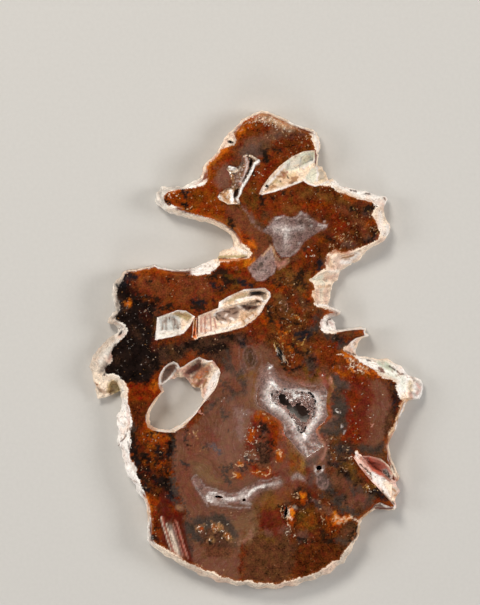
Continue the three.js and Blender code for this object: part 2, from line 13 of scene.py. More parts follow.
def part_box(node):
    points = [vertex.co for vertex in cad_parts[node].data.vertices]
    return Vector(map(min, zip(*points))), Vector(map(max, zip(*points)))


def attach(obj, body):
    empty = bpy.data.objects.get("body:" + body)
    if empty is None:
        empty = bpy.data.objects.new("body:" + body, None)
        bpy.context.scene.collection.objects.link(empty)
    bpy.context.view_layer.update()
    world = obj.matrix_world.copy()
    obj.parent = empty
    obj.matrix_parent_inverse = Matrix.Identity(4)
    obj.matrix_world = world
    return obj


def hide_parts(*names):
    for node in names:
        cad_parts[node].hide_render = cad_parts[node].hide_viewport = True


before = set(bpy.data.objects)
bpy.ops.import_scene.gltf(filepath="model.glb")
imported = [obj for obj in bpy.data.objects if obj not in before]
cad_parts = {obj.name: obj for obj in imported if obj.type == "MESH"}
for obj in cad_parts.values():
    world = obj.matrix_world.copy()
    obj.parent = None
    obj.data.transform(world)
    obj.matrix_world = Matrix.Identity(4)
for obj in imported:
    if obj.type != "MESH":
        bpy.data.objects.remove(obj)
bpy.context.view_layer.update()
# noise_vector follows the clock until it is given a seed
noise.seed_set(7)

MM = 0.001
FACE_Z = 9 * MM
# Corners this near a plane lie in it, and corners this near each other are one.
LEVEL, SAME_PLACE = 5e-6, 2e-6
# How far up a face looks, from 0 for a wall to 1 for level ground. Above the first number it is cut as
# finely as the polished face, and above the second it needs no cuts across its height.
SEEN_FROM_ABOVE, NEARLY_LEVEL = 0.4, 0.6
# The ridge number that stays where the CAD's surface is.
MIDDLE_RIDGE = 0.42
# How far the noise of the chalcedony's layers moves on for each pixel.
LAYER_PACE = 0.0037
# A crisp mark's alpha goes from 0 to 1 over this many pixels, half of them on each side of its edge.
EDGE_SPAN = 4
# The share of the gap to the stone that a crust's outer side closes.
GAP_CLOSED = 0.95
# Quartz points need ground that looks up this far, lies this many pixels back from the druse's slot, with
# as many more as the third number on a wall, and lies no deeper than the fourth, where none would show.
GROUND_UP, SLOT_CLEAR, SLOT_CLEAR_ON_WALLS, LOWEST_POINTS = 0.08, 1.6, 2.5, FACE_Z - 4 * MM
# The finishes of faces, which are also the numbers of their materials.
POLISHED, BROKEN_OPEN, SAWN, POINTS = range(4)
# The slab was traced on a photograph, so marks in the stone are given in its pixels.
PIXEL = 150 / 480 * MM
PIXEL_X0, PIXEL_Y0 = 256.5, 350.0

# Minerals of the stone: colour, and how mottled it is, from 0 for even to 1.
MINERALS = {
    "jasper": ("#6B2F12", 0.75), "umber": ("#53260E", 0.9), "russet": ("#70290D", 0.7),
    "oxblood": ("#521E10", 0.4), "brick": ("#652A19", 0.5), "rust": ("#5A3015", 0.95),
    "honey": ("#7E370E", 0.7), "olive": ("#583A14", 0.8), "ochre": ("#754A21", 0.35),
    "amber": ("#943F0F", 0.6), "flame": ("#C66A1D", 0.5), "gold": ("#BC9150", 0.5),
    "dusk": ("#452C1F", 0.8), "soot": ("#18100D", 1.0), "moss": ("#20160F", 0.5),
    "ink": ("#1D1B1E", 0.4), "slate": ("#40362F", 0.5), "pewter": ("#54423A", 0.4),
    "mauve": ("#704734", 0.2), "rosewood": ("#713F2D", 0.3), "clay": ("#775140", 0.2),
    "taupe": ("#76563B", 0.2), "plume": ("#6B4531", 0.5), "fawn": ("#6E3D24", 0.5),
    "lilac": ("#8A6C63", 0.4), "smoke": ("#755C55", 0.5), "quartz": ("#A29089", 0.5),
    "milk": ("#C4B6AF", 0.4), "snow": ("#F6EFE8", 0.45), "cream": ("#F2DCC4", 0.6),
    "chalk": ("#EFE7DC", 0.45), "ash": ("#A79C92", 0.5), "sand": ("#CEA67F", 0.4),
    "tan": ("#A5764C", 0.5), "khaki": ("#AF9864", 0.5), "blush": ("#BC8270", 0.4),
    "rose": ("#A25444", 0.4), "celadon": ("#DADCC9", 0.4), "steel": ("#C4C6C2", 0.4),
    "peat": ("#4A2C1C", 0.9), "loam": ("#4B3424", 0.6), "walnut": ("#563722", 0.7),
    "storm": ("#474B52", 0.3), "sage": ("#B4B7A0", 0.4), "petal": ("#EEC5B6", 0.4),
    "coral": ("#CC664E", 0.4), "slot_glow_painted": ("#F0883C", 0.4),
}

# Tints that the shaders lay over them.
PALE_LINE, MOSS_SPECK, OCHRE_SPECK, RIM_GLOW_PAINTED = "#A78E84", "#1F120C", "#B0763C", "#A65A22"
IRON_STAIN, PIT_DIRT, CRACK_DIRT, HOLLOW_DARKENING, SAW_DUST = "#D59A72", "#6F5240", "#7A5E4C", "#9A7258", "#B9A593"

# What the polished face shows, laid on in this order. Each row is the mineral, half the width of
# its veins or None for an outline, how soft its edge is, its share of the colour, and its paths.
GROUNDS = [
    ("umber", None, 6, 1, "298,192 315,186 330,184 350,195 378,206 382,232 360,250 340,252 325,256"
     " 322,272 300,272 290,262 305,245 330,228 312,212 300,205"),
    ("honey", None, 5, 1, "206,170 218,152 230,146 226,160 220,172 218,190 226,208 238,222 244,236"
     " 246,246 240,240 230,226 210,219 185,212 168,206 164,192 190,186 203,180"),
    ("olive", None, 5, 0.15, "188,192 205,186 216,192 218,206 205,212 190,208"),
    ("clay", None, 4, 0.8, "218,166 230,162 232,178 230,188 220,192 214,182"),
    ("plume", None, 4, 1, "238,148 244,140 254,136 266,132 282,126 298,128 302,136 286,138 272,142 266,148"
     " 262,158 248,158 240,162"),
    ("pewter", None, 3, 0.8, "240,152 248,146 262,144 266,150 262,158 250,155 243,158"),
    ("fawn", None, 4, 1, "222,206 240,206 250,216 262,226 268,236 272,246 262,262 246,262 250,250"
     " 244,238 234,224 226,214"),
    ("jasper", None, 6, 1, "126,272 214,272 232,264 250,266 262,285 240,290 215,298 195,313 170,308 150,312"
     " 140,300 126,288"),
    ("rust", None, 6, 1, "270,270 300,266 312,275 313,300 318,312 322,330 345,350 320,362 300,372 284,374"
     " 272,362 266,345 258,335 262,318 270,300"),
    ("dusk", None, 6, 1, "136,300 158,306 160,320 154,345 170,343 200,338 228,333 250,331 262,337 244,347"
     " 230,356 226,368 205,356 190,352 178,362 168,362 150,376 136,340"),
    ("soot", None, 4, 1, "106,276 126,275 134,288 142,300 156,306 157,325 152,346 160,356 160,370 152,382 124,385"
     " 114,378 98,374 96,358 106,346 118,338 122,330 112,322 104,318 108,300"),
    ("soot", None, 5, 0.25, "156,342 185,338 228,335 229,345 206,350 190,349 178,357 160,362"),
    ("soot", 5, 5, 0.6, "162,346 170,348 176,352"),
    ("russet", None, 3, 1, "124,384 150,382 160,372 160,384 162,394 150,404 128,404 124,395"),
    ("umber", None, 4, 1, "126,403 151,401 147,415 146,428 130,434 128,415"),
    ("umber", None, 4, 1, "130,432 150,430 180,432 174,450 173,470 176,486 170,500 160,500 148,520 140,496"
     " 134,480 134,465 128,445"),
    ("jasper", None, 4, 1, "145,500 162,498 160,520 164,545 150,560 149,520"),
    ("oxblood", None, 3, 1, "162,488 171,488 178,502 185,514 186,530 176,519 166,520 159,520 157,505"),
    ("mauve", None, 4, 1, "176,432 190,426 202,418 206,398 220,372 234,352 250,344 262,344 272,352 282,370"
     " 298,378 316,384 328,376 337,384 338,398 331,410 332,425 322,432 323,446 331,460 327,476 318,492"
     " 306,482 285,488 270,498 260,506 254,520 246,530 240,545 238,590 188,590 188,560 186,530 184,508"
     " 178,490 174,470 172,450"),
    ("taupe", None, 5, 0.8, "192,462 206,464 214,476 222,484 212,487 202,480 194,472"),
    ("clay", None, 5, 0.8, "205,432 240,410 262,408 258,425 246,440 240,460 225,470 212,455"),
    ("walnut", None, 5, 1, "328,380 340,374 350,380 352,392 346,404 348,420 352,440 372,444 388,450 384,460"
     " 366,455 352,450 350,462 362,480 374,492 370,508 360,518 345,514 330,505 318,500 320,480 332,470"
     " 328,450 321,436 333,425 334,405 338,396"),
    ("brick", None, 4, 1, "344,384 360,374 374,378 374,400 367,420 364,440 350,444 346,420 342,400"),
    ("rosewood", None, 5, 1, "364,370 380,378 391,392 390,420 384,440 370,446 362,440 367,415 372,395"),
    ("clay", None, 5, 0.7, "382,400 390,400 389,424 382,444 374,446 378,425"),
    ("jasper", None, 5, 1, "314,344 345,350 358,358 380,376 366,380 348,382 332,374 318,364 310,354"),
    ("soot", None, 6, 0.85, "384,377 397,383 402,394 401,408 396,422 390,438 386,436 388,420 391,402 390,390"),
    ("umber", None, 5, 1, "288,486 306,482 318,494 338,508 356,518 358,545 345,562 320,575 300,580 284,560"
     " 280,520"),
    ("olive", None, 4, 0.7, "300,505 312,508 318,528 306,534 296,520"),
    ("walnut", None, 5, 0.9, "345,520 359,520 359,540 350,552 338,546"),
    ("ochre", None, 5, 0.8, "258,500 275,492 292,486 290,500 276,508 262,512"),
    ("walnut", None, 5, 0.8, "254,512 262,530 285,532 296,545 290,585 240,588 246,540"),
    ("slate", None, 4, 0.9, "207,516 226,515 236,528 240,546 226,552 214,546 190,536 184,520 196,518"),
    ("rust", None, 4, 0.5, "200,528 224,526 236,538 232,556 206,556 196,540"),
    ("honey", None, 4, 0.9, "145,545 168,548 184,562 200,575 180,566 160,556"),
]

# Veins, clouds and spots in the same stone, laid over its grounds.
CLOUDS = [
    # crown
    ("amber", 3, 3, 0.9, "238,134 244,129 250,127 / 242,121 250,117 256,115"),
    ("flame", 2, 3, 0.8, "238,133 243,129 / 247,117"),
    ("amber", 5, 4, 0.9, "220,150 228,148 232,152"),
    ("flame", 3, 3, 0.9, "217,155 222,150 229,149 / 206,168 209,162 214,157"),
    ("russet", 3, 2.5, 0.8, "230,150 231,154 / 226,159 234,158 / 268,168 266,176 262,182 / 272,166 276,160"),
    ("amber", 3, 3, 0.7, "244,126 250,120 257,116 264,116"),
    ("sand", 3, 3, 0.7, "262,116 270,119.5 278,122.5 285,126 291,129"),
    ("walnut", 4, 4, 0.7, "236,150 238,160 234,166 / 262,150 268,146"),
    ("umber", 5, 5, 0.6, "290,134 306,134 310,144 296,150 / 300,138 282,148"),
    ("pewter", 1.5, 1.5, 0.5, "276,136 280,134 / 284,131 288,130 / 292,138 / 300,133 304,135"),
    ("olive", 3, 3, 0.8, "252,190 256,198 254,206 / 244,196 248,204"),
    # left horn
    ("amber", 1.8, 2, 0.9, "190,209 200,213 208,217 / 186,206 190,209 / 208,217 222,223 230,227 / 170,196 176,191"
     " 180,190"),
    ("flame", 1, 1.2, 0.9, "172,193 174,192 / 182,209 188,208"),
    ("olive", 3, 4, 0.25, "196,196 206,202 / 192,206 198,200 / 212,196 216,206"),
    ("russet", 2.5, 3, 0.7, "206,205 216,212 226,216 / 214,182 212,192"),
    # below the crown
    ("ochre", 3, 3, 0.6, "216,219 226,222 232,228"),
    ("amber", 5, 4, 0.75, "246,240 252,246 248,252 / 242,236 246,244"),
    ("flame", 1.6, 1.6, 0.8, "250,241 253,244 255,248 / 251,245"),
    ("olive", 2, 3, 0.7, "230,205 240,206 246,212 252,219 258,226 266,231 / 262,214 268,218 272,224"),
    ("pewter", 1.5, 2, 0.5, "250,214 256,222 262,228"),
    ("walnut", 3, 3, 0.7, "264,216 270,212 / 274,260 284,262 296,259 / 266,228 271,242"),
    ("flame", 2.6, 2, 1, "242,259 248,261 254,263 / 246,264 252,265"),
    ("cream", 1, 1, 0.8, "226,261 232,266 238,269"),
    ("amber", 3, 2.5, 1, "220,262 228,265 240,267 / 232,262 242,262"),
    ("russet", 3, 3, 0.8, "222,268 234,272 246,272 / 236,268"),
    ("sand", 1.2, 1.2, 0.8, "220,257 230,257 242,256 250,257"),
    ("mauve", 2.2, 1.6, 0.8, "243,207 248,214 252,221 257,228 264,231"),
    ("lilac", 0.7, 0.8, 0.7, "241,206 246,211 251,219 255,226 261,230"),
    # right horn
    ("ochre", 4, 4, 0.6, "302,195 310,192 / 320,196 328,198 / 342,200 350,203 / 290,274 302,290 / 286,208 296,210"),
    ("russet", 5, 5, 0.7, "272,206 276,212 / 312,206 330,210 344,224 / 334,226 340,232 / 298,264 306,258 310,248"),
    ("amber", 2.5, 3, 0.5, "302,204 312,206 326,204 / 316,238 322,240 / 346,196 352,200"),
    ("peat", 4, 5, 0.35, "352,214 362,214 / 346,236 358,244 / 360,205 370,207"),
    ("fawn", 4, 4, 0.6, "356,220 364,226 366,238 / 338,206 346,210 / 338,238 344,242"),
    ("amber", 2, 2.5, 0.6, "368,224 373,222 / 336,236 341,240 / 298,252 303,256"),
    ("pewter", 3, 3, 0.6, "345,244 352,246 / 324,262 330,258 / 368,240 376,238 / 366,212 372,214"),
    ("oxblood", 3, 3, 0.5, "318,214 324,212 / 328,232 334,238"),
    # left shoulder
    ("amber", 3, 3, 0.7, "136,273 146,271 156,270 164,272 / 130,277 140,278"),
    ("fawn", 7, 6, 0.55, "140,282 156,286 164,292 / 180,276 190,284 184,296 / 200,278 206,288 202,296"),
    ("amber", 3.4, 2.4, 0.9, "128,304"),
    ("flame", 2.2, 1.8, 1, "127,303.5 129,304.5"),
    ("gold", 0.9, 1.2, 0.8, "128,304.5"),
    ("ink", 3, 3, 0.85, "124,276 128,279 134,277 / 119,284 125,285"),
    ("oxblood", 4, 4, 0.35, "132,289 138,293 146,294 / 152,343 154,348 / 144,314 150,322"),
    ("olive", 2, 3, 0.4, "154,320 156,332 / 170,346 176,360"),
    ("walnut", 1, 1.2, 0.7, "170,345 172,352 176,359 / 174,362"),
    ("dusk", 4, 4, 0.5, "118,300 124,310 / 134,330 142,340 / 128,356 / 148,362 154,368 / 116,360"),
    ("fawn", 5, 5, 0.35, "206,320 216,314 / 230,345 240,352 238,366 / 250,336 244,348"),
    ("russet", 3, 3, 0.7, "266,322 260,319 256,324 / 248,334 262,338 / 262,326 268,330"),
    ("amber", 1.6, 2, 0.8, "262,320 265,323 / 262,316 268,318"),
    # centre
    ("russet", 4, 4, 0.7, "272,288 284,290 / 294,300 300,310 / 312,290 308,300 / 316,316 312,324 / 288,344 296,352"),
    ("amber", 2, 2, 0.6, "270,287 276,289 284,288 / 280,331 283,332 / 274,322 280,326 / 304,296 308,300"),
    ("amber", 2.5, 3, 0.25, "284,340 290,336 / 278,336 284,344 / 292,350 296,342 / 276,330 284,326"),
    ("amber", 4, 4, 0.4, "324,351 334,352"),
    ("fawn", 4, 4, 0.7, "340,366 348,368"),
    ("flame", 1, 1.5, 0.6, "283,332 287,333 / 300,345 304,339 306,336 / 291,350 288,346 / 280,338 / 296,316 299,319"),
    ("ochre", 3, 3, 0.7, "288,276 294,284 / 278,296 282,304 / 308,276 312,284 / 296,338 302,344 / 306,350 316,352"),
    ("jasper", 6, 5, 1, "300,360 290,364 / 320,345 330,352 / 316,358 326,364"),
    ("walnut", 3.5, 3, 0.9, "300,300 306,306 / 286,308 282,300 / 318,304 320,312"),
    # left column
    ("amber", 3, 3, 0.4, "151,388 158,392 / 154,378 157,374"),
    ("russet", 4, 3, 0.9, "130,394 142,395 152,396"),
    ("flame", 1.2, 2, 0.6, "154,381 157,386 / 150,388 156,390 / 146,426 150,430"),
    ("amber", 3.5, 4, 0.55, "147,425 146,431 150,436 / 140,440 154,440 162,438 / 152,450 148,462 / 160,448 166,440"),
    ("flame", 1.3, 2, 0.5, "150,432 156,436 160,434 / 148,444 154,447 / 152,458 154,464 / 168,436 172,438"),
    ("amber", 3, 3, 0.8, "148,496 156,500 150,506 / 164,470 170,472 / 158,466 163,463 / 146,500 150,512"),
    ("flame", 1.2, 1.5, 0.8, "146,499 149,503 151,510 / 148,506"),
    ("oxblood", 3, 3, 0.7, "136,442 140,448 / 154,478 156,484 / 148,474 142,470"),
    ("soot", 4, 4, 0.35, "150,474 162,478 166,490 / 148,488 156,496"),
    ("russet", 3, 3, 0.8, "152,514 156,526 154,536 / 166,524 168,518 / 172,505 176,512"),
    # chalcedony
    ("clay", 5, 4, 0.7, "222,378 240,372 254,380 250,396 / 230,400 244,412 240,424"),
    ("rosewood", 5, 5, 0.8, "216,388 226,384 238,388 / 205,432 214,440 / 186,432 196,440 192,452 / 184,470 188,486"
     " 196,502 / 236,350 240,364 / 250,470 262,478 272,470"),
    ("pewter", 2, 2.5, 0.7, "240,340 246,350 244,362 240,372 / 250,352 256,362 252,370 / 246,366 242,378 / 228,400"
     " 236,394 246,392 / 222,410 228,416 / 206,412 212,406 218,400"),
    ("slate", 2.2, 2, 0.8, "228,350 230,362 234,372 240,380 244,388 / 224,360 228,370 / 240,374 246,384 / 228,386"
     " 234,394"),
    ("loam", 1.5, 2, 0.6, "214,404 222,398 230,394 240,392 / 222,386 228,382 / 204,404 208,410"),
    ("loam", 5, 2.5, 0.95, "250,353 251,361"),
    ("plume", 4, 4, 0.7, "262,346 268,352 276,362 / 296,372 306,376 316,380 / 324,370 332,378"),
    ("taupe", 3, 3, 0.7, "252,372 256,384 252,398 254,404 / 262,412 272,418 280,424 / 300,382 312,383 322,380"),
    ("ochre", 1.6, 2, 0.8, "255,376 254,390 254,400 / 240,378 250,374 260,374"),
    ("lilac", 1.6, 3, 0.5, "262,368 259,376 258,386 256,396 258,404 264,409 272,415 / 242,410 241,420 240,430"),
    ("lilac", 3, 3, 0.6, "236,410 240,420 / 244,414 248,412 / 238,430 242,438"),
    ("rose", 3, 3, 0.5, "298,384 308,386 / 322,376 326,384 / 256,416 262,415"),
    # the orange whorl and the ochre fan
    ("brick", 7, 4, 1, "258,420 272,422 / 274,430 270,444 / 256,430 252,444"),
    ("amber", 3, 3, 0.9, "256,418 262,416 268,419 / 272,424 276,430 276,440 274,450 / 252,432 250,440"),
    ("russet", 3, 3, 1, "270,424 276,427 / 274,434 274,446 / 262,440 268,446"),
    ("ochre", 3.5, 3, 0.9, "264,412 274,416 281,422 285,432 292,442 298,450 / 290,446 296,458 / 298,452 304,462 302,472"
     " / 292,458 292,470"),
    ("olive", 2.5, 3, 0.8, "284,430 283,438 290,448 297,456 / 304,458 307,466 305,474 / 276,456 282,462"),
    ("honey", 3, 3, 0.8, "284,436 290,446 / 290,462 300,470 / 294,452 300,460"),
    ("rosewood", 4, 4, 0.9, "282,446 286,456 284,468 / 276,470 282,476 / 268,466 262,462"),
    ("gold", 3, 3, 0.22, "297,450 302,458 303,468 298,472"),
    ("amber", 2.5, 3, 0.8, "273,423 278,428 281,436"),
    ("amber", 2.4, 2, 0.9, "277,456 281,452 / 279,460 282,457 / 240,464 244,467 / 237,475 241,477"),
    ("flame", 1.3, 1.3, 0.9, "279,453 281,456 / 239,463 242,465 / 236,474 239,476 / 253,472 262,472"),
    ("amber", 1.6, 2, 0.8, "253,466 262,464 270,468 270,474 264,477 254,474 / 252,472 268,474"),
    ("russet", 3, 3, 0.8, "258,468 264,470 / 268,478 276,476 / 248,462 254,468"),
    ("plume", 6, 4, 1, "262,446 266,456 264,462"),
    ("dusk", 2.6, 2, 0.9, "258,446 266,444 / 264,452 262,460 / 270,448 272,456"),
    ("brick", 2.5, 3, 0.8, "268,452 270,460 / 258,454"),
    # right of the druse
    ("ochre", 1.6, 1.5, 0.9, "329,374 333,384 333,392 328,398 327,408 329,416 / 334,414 326,420 320,428"),
    ("tan", 1.4, 1.2, 0.9, "322,424 317,430 318,437 322,443 326,450 323,456 320,462 / 331,380 333,390 330,396"),
    ("blush", 1, 1.2, 0.8, "330,378 332,386 331,392 / 332,414 338,418 / 330,410 334,416 326,422"),
    ("clay", 4, 3, 1, "316,456 312,466 / 324,434 327,446 322,458 / 334,416 328,420"),
    ("brick", 3, 3, 0.8, "308,470 312,482 / 318,434 324,440 / 330,388 334,396"),
    ("slate", 3.5, 3, 0.9, "331,424 340,420 344,426 / 322,430 332,434 342,430 / 336,376 338,388 / 334,396 340,404"
     " 346,408"),
    ("pewter", 3, 3, 0.8, "316,458 308,464 / 324,424 332,428 / 322,474 330,484 328,490 / 312,476 310,486"),
    ("slate", 4, 3, 0.8, "340,446 350,450 / 338,462 346,468 / 340,452 336,458 / 330,454 332,462 / 362,448 374,450"
     " 382,446 / 352,474 350,480"),
    ("ink", 2.4, 2, 0.7, "333,462 338,466 / 338,445 342,452 / 344,462 342,468 / 350,450 354,452 / 346,474 350,478"),
    ("peat", 3, 2.5, 0.9, "344,440 352,446 / 345,454 350,462 / 356,478 362,480"),
    ("rust", 3, 3, 0.8, "332,438 336,444 / 330,446 334,456 / 340,468 350,470 / 362,484 368,488 / 334,460 340,460"),
    ("olive", 3.5, 3, 0.8, "350,470 354,478 / 346,464 352,466 / 372,486 376,494"),
    ("oxblood", 4, 3, 0.6, "336,493 340,494 / 320,494 312,498 / 308,490 314,486"),
    ("rosewood", 4, 4, 0.7, "336,480 343,485 350,488"),
    ("lilac", 1.6, 2, 0.4, "318,476 322,484 328,488 / 312,500 318,502"),
    ("plume", 4, 3, 0.9, "320,508 330,512 / 352,500 344,506 / 362,496 366,504"),
    ("slate", 4, 3, 0.8, "336,500 342,498 / 364,504 372,496 / 360,490 356,496"),
    ("rosewood", 4, 4, 0.6, "350,504 354,508"),
    ("soot", 3, 4, 0.5, "328,489 333,492"),
    ("soot", 2.5, 2, 0.8, "372,492 378,496 / 376,488 382,496 / 342,472 348,474 / 386,498"),
    ("rosewood", 5, 4, 0.7, "362,500 354,494 / 374,404 372,420 / 380,424 374,438"),
    # right lobe
    ("russet", 4, 4, 0.9, "350,392 356,398 352,408 / 354,420 358,432 356,440 / 350,432 344,438"),
    ("brick", 5, 4, 0.9, "360,384 370,390 368,402 / 362,410 360,420 / 366,426 364,436"),
    ("mauve", 5, 5, 0.8, "376,386 384,394 382,410 / 374,412 380,420 / 380,430 374,440"),
    ("walnut", 3, 4, 0.6, "388,418 386,430 / 393,410 389,424 / 386,384 392,390"),
    ("pewter", 3, 3, 0.7, "346,384 342,382 / 336,376 340,384 / 348,388"),
    ("slate", 3, 3, 0.8, "344,386 / 340,398 344,404 / 346,408 342,412"),
    ("amber", 2.4, 2.5, 0.8, "342,352 348,354 354,358 / 334,368 340,374 / 344,376 348,372 / 336,360 / 360,366"
     " 366,372 372,376"),
    ("flame", 1.3, 1.5, 0.8, "342,353 350,356 356,360 / 338,372 / 372,371 378,375 / 360,364 366,368"),
    ("russet", 4, 4, 0.7, "342,344 334,346 / 352,378 364,382 / 344,362 350,366"),
    ("walnut", 3, 3, 0.8, "340,334 352,334 362,333 / 356,331 362,333"),
    ("amber", 1.6, 2, 0.7, "356,333 362,332 / 345,346 349,349 / 336,332 340,333"),
    ("dusk", 3, 3, 0.9, "334,336 340,342 346,346 / 338,336 342,348 / 318,330 328,334"),
    ("ink", 2, 2, 0.8, "336,337 341,341 / 296,334 304,332 310,334 308,338 300,339 / 312,332 318,328"),
    ("slate", 3, 3, 0.8, "310,330 318,326 / 320,320 316,318 / 350,344 340,346 / 326,334 332,338"),
    ("slate", 4.6, 2.2, 0.8, "310,361 311,368"),
    ("pewter", 0.7, 0.9, 0.6, "303,359 307,354 314,355 318,361 317,370 312,376 306,374 303,367 303,359"),
    ("olive", 2, 2, 0.9, "308,378 313,380 / 306,374 304,368 / 316,376 318,370"),
    ("soot", 2, 1.5, 0.8, "309,359 313,360 / 315,366"),
    # lower centre and right
    ("rosewood", 4, 4, 0.8, "288,480 298,484 / 284,488 294,490 / 278,492 284,500"),
    ("amber", 3, 2.5, 0.9, "300,492 304,496 303,502 / 286,510 291,516 293,508 / 291,522 288,527"),
    ("flame", 2, 1.8, 1, "291,509 293,514 290,518 / 301,493 304,496"),
    ("cream", 0.9, 1, 0.9, "290,508 288,512 287,516 291,518 / 293,506 296,508"),
    ("dusk", 1.6, 1.5, 0.8, "298,490 306,491 309,497 308,504 303,508 296,508 / 300,488 294,496 / 284,504 290,504"),
    ("moss", 1.8, 1.5, 0.8, "295,492 300,489 / 308,493 310,500 / 302,506 / 293,506 / 296,532 300,538 / 322,530"
     " 323,536"),
    ("oxblood", 8, 4, 0.8, "268,518 270,526"),
    ("brick", 5, 5, 0.8, "262,516 276,516 / 282,526 276,532 / 300,534 308,538"),
    ("olive", 3, 3, 0.7, "262,494 270,492 / 255,504 258,510 / 262,536 272,540 / 300,516 308,522 / 310,528 302,530"),
    ("ochre", 2.5, 2.5, 0.6, "266,493 272,490 / 276,506 282,500 / 254,512 250,505"),
    ("amber", 3, 3, 0.8, "330,520 338,516 / 334,524 342,522 / 348,518"),
    ("amber", 2.4, 3, 0.35, "310,514 314,520 / 306,520 312,524 / 300,526 306,528 / 318,508 322,512 / 326,528 336,532"),
    ("flame", 2, 1.6, 1, "333,519 337,516 339,521 / 335,523 342,520 / 345,519 348,518 / 334,513"),
    ("sand", 0.9, 1.2, 0.9, "336,517 338,519 / 340,519 346,519 / 338,523 341,523 / 334,521 / 346,521"),
    ("cream", 0.6, 0.9, 0.8, "337,518 / 341,519.5 344,519 / 348,518 352,517 356,520 360,521"),
    ("clay", 3, 3, 0.6, "286,532 282,530 / 300,534 304,533 / 266,532 270,534"),
    ("slate", 3, 3, 0.7, "246,508 250,512 / 300,540 306,538 / 288,528 / 338,540 346,542"),
    ("mauve", 5, 5, 0.9, "206,510 222,512 240,512 / 196,510 190,520 / 232,504 246,508"),
    ("taupe", 6, 4, 0.6, "232,528 242,522 250,532 / 246,538 236,540 / 253,514 252,530"),
    ("blush", 1.6, 2, 0.35, "250,530 252,536 246,540 240,542"),
    ("slate", 3, 2.5, 0.9, "188,524 192,534 200,540 / 196,520 204,526 / 214,516 224,518 230,526 / 230,530 236,536"
     " / 206,526 212,522 / 184,528 188,540 190,556"),
    ("tan", 2.2, 2, 0.9, "198,528 202,527 / 213,524 216,530 / 219,526 222,528 / 226,536 230,538 / 209,539 213,540"),
    ("amber", 1.4, 1.5, 0.9, "214,525 216,528 / 199,527 202,529 / 228,537 226,534"),
]

# Ribbon of thin layers at the left foot.
STRIPES = [
    ("oxblood", None, 2, 1, "159,518 166,515 176,516 184,528 188,545 194,565 178,566 168,556 162,540"),
    ("mauve", 3.6, 2.5, 0.9, "169,525 172,533 175,543 179,556 184,566"),
    ("ash", 2.2, 2, 0.6, "170,527 172.5,535 175.5,545 179,557"),
    ("cream", 1.3, 1.2, 0.9, "171,532 173,539 176,549 179,560"),
    ("cream", 0.5, 0.8, 0.8, "161.4,517 162.6,524 165,532 168,541 172,553 / 166.5,524 168.6,532 171.4,541 175,553"),
    ("rose", 0.7, 0.9, 0.9, "162.8,517 164.2,525 167,534 170,543 174,555 / 175,520 178.6,530 181.6,541 186,556"),
    ("blush", 0.5, 0.7, 0.9, "176.6,522 180,532 183,543 188,558 / 173.4,524 176,533 179,543 183,556"),
    ("smoke", 0.6, 0.8, 0.6, "168.2,524 170.2,533 173,542 177,554 / 174.6,530 177.6,540 181,552"),
]

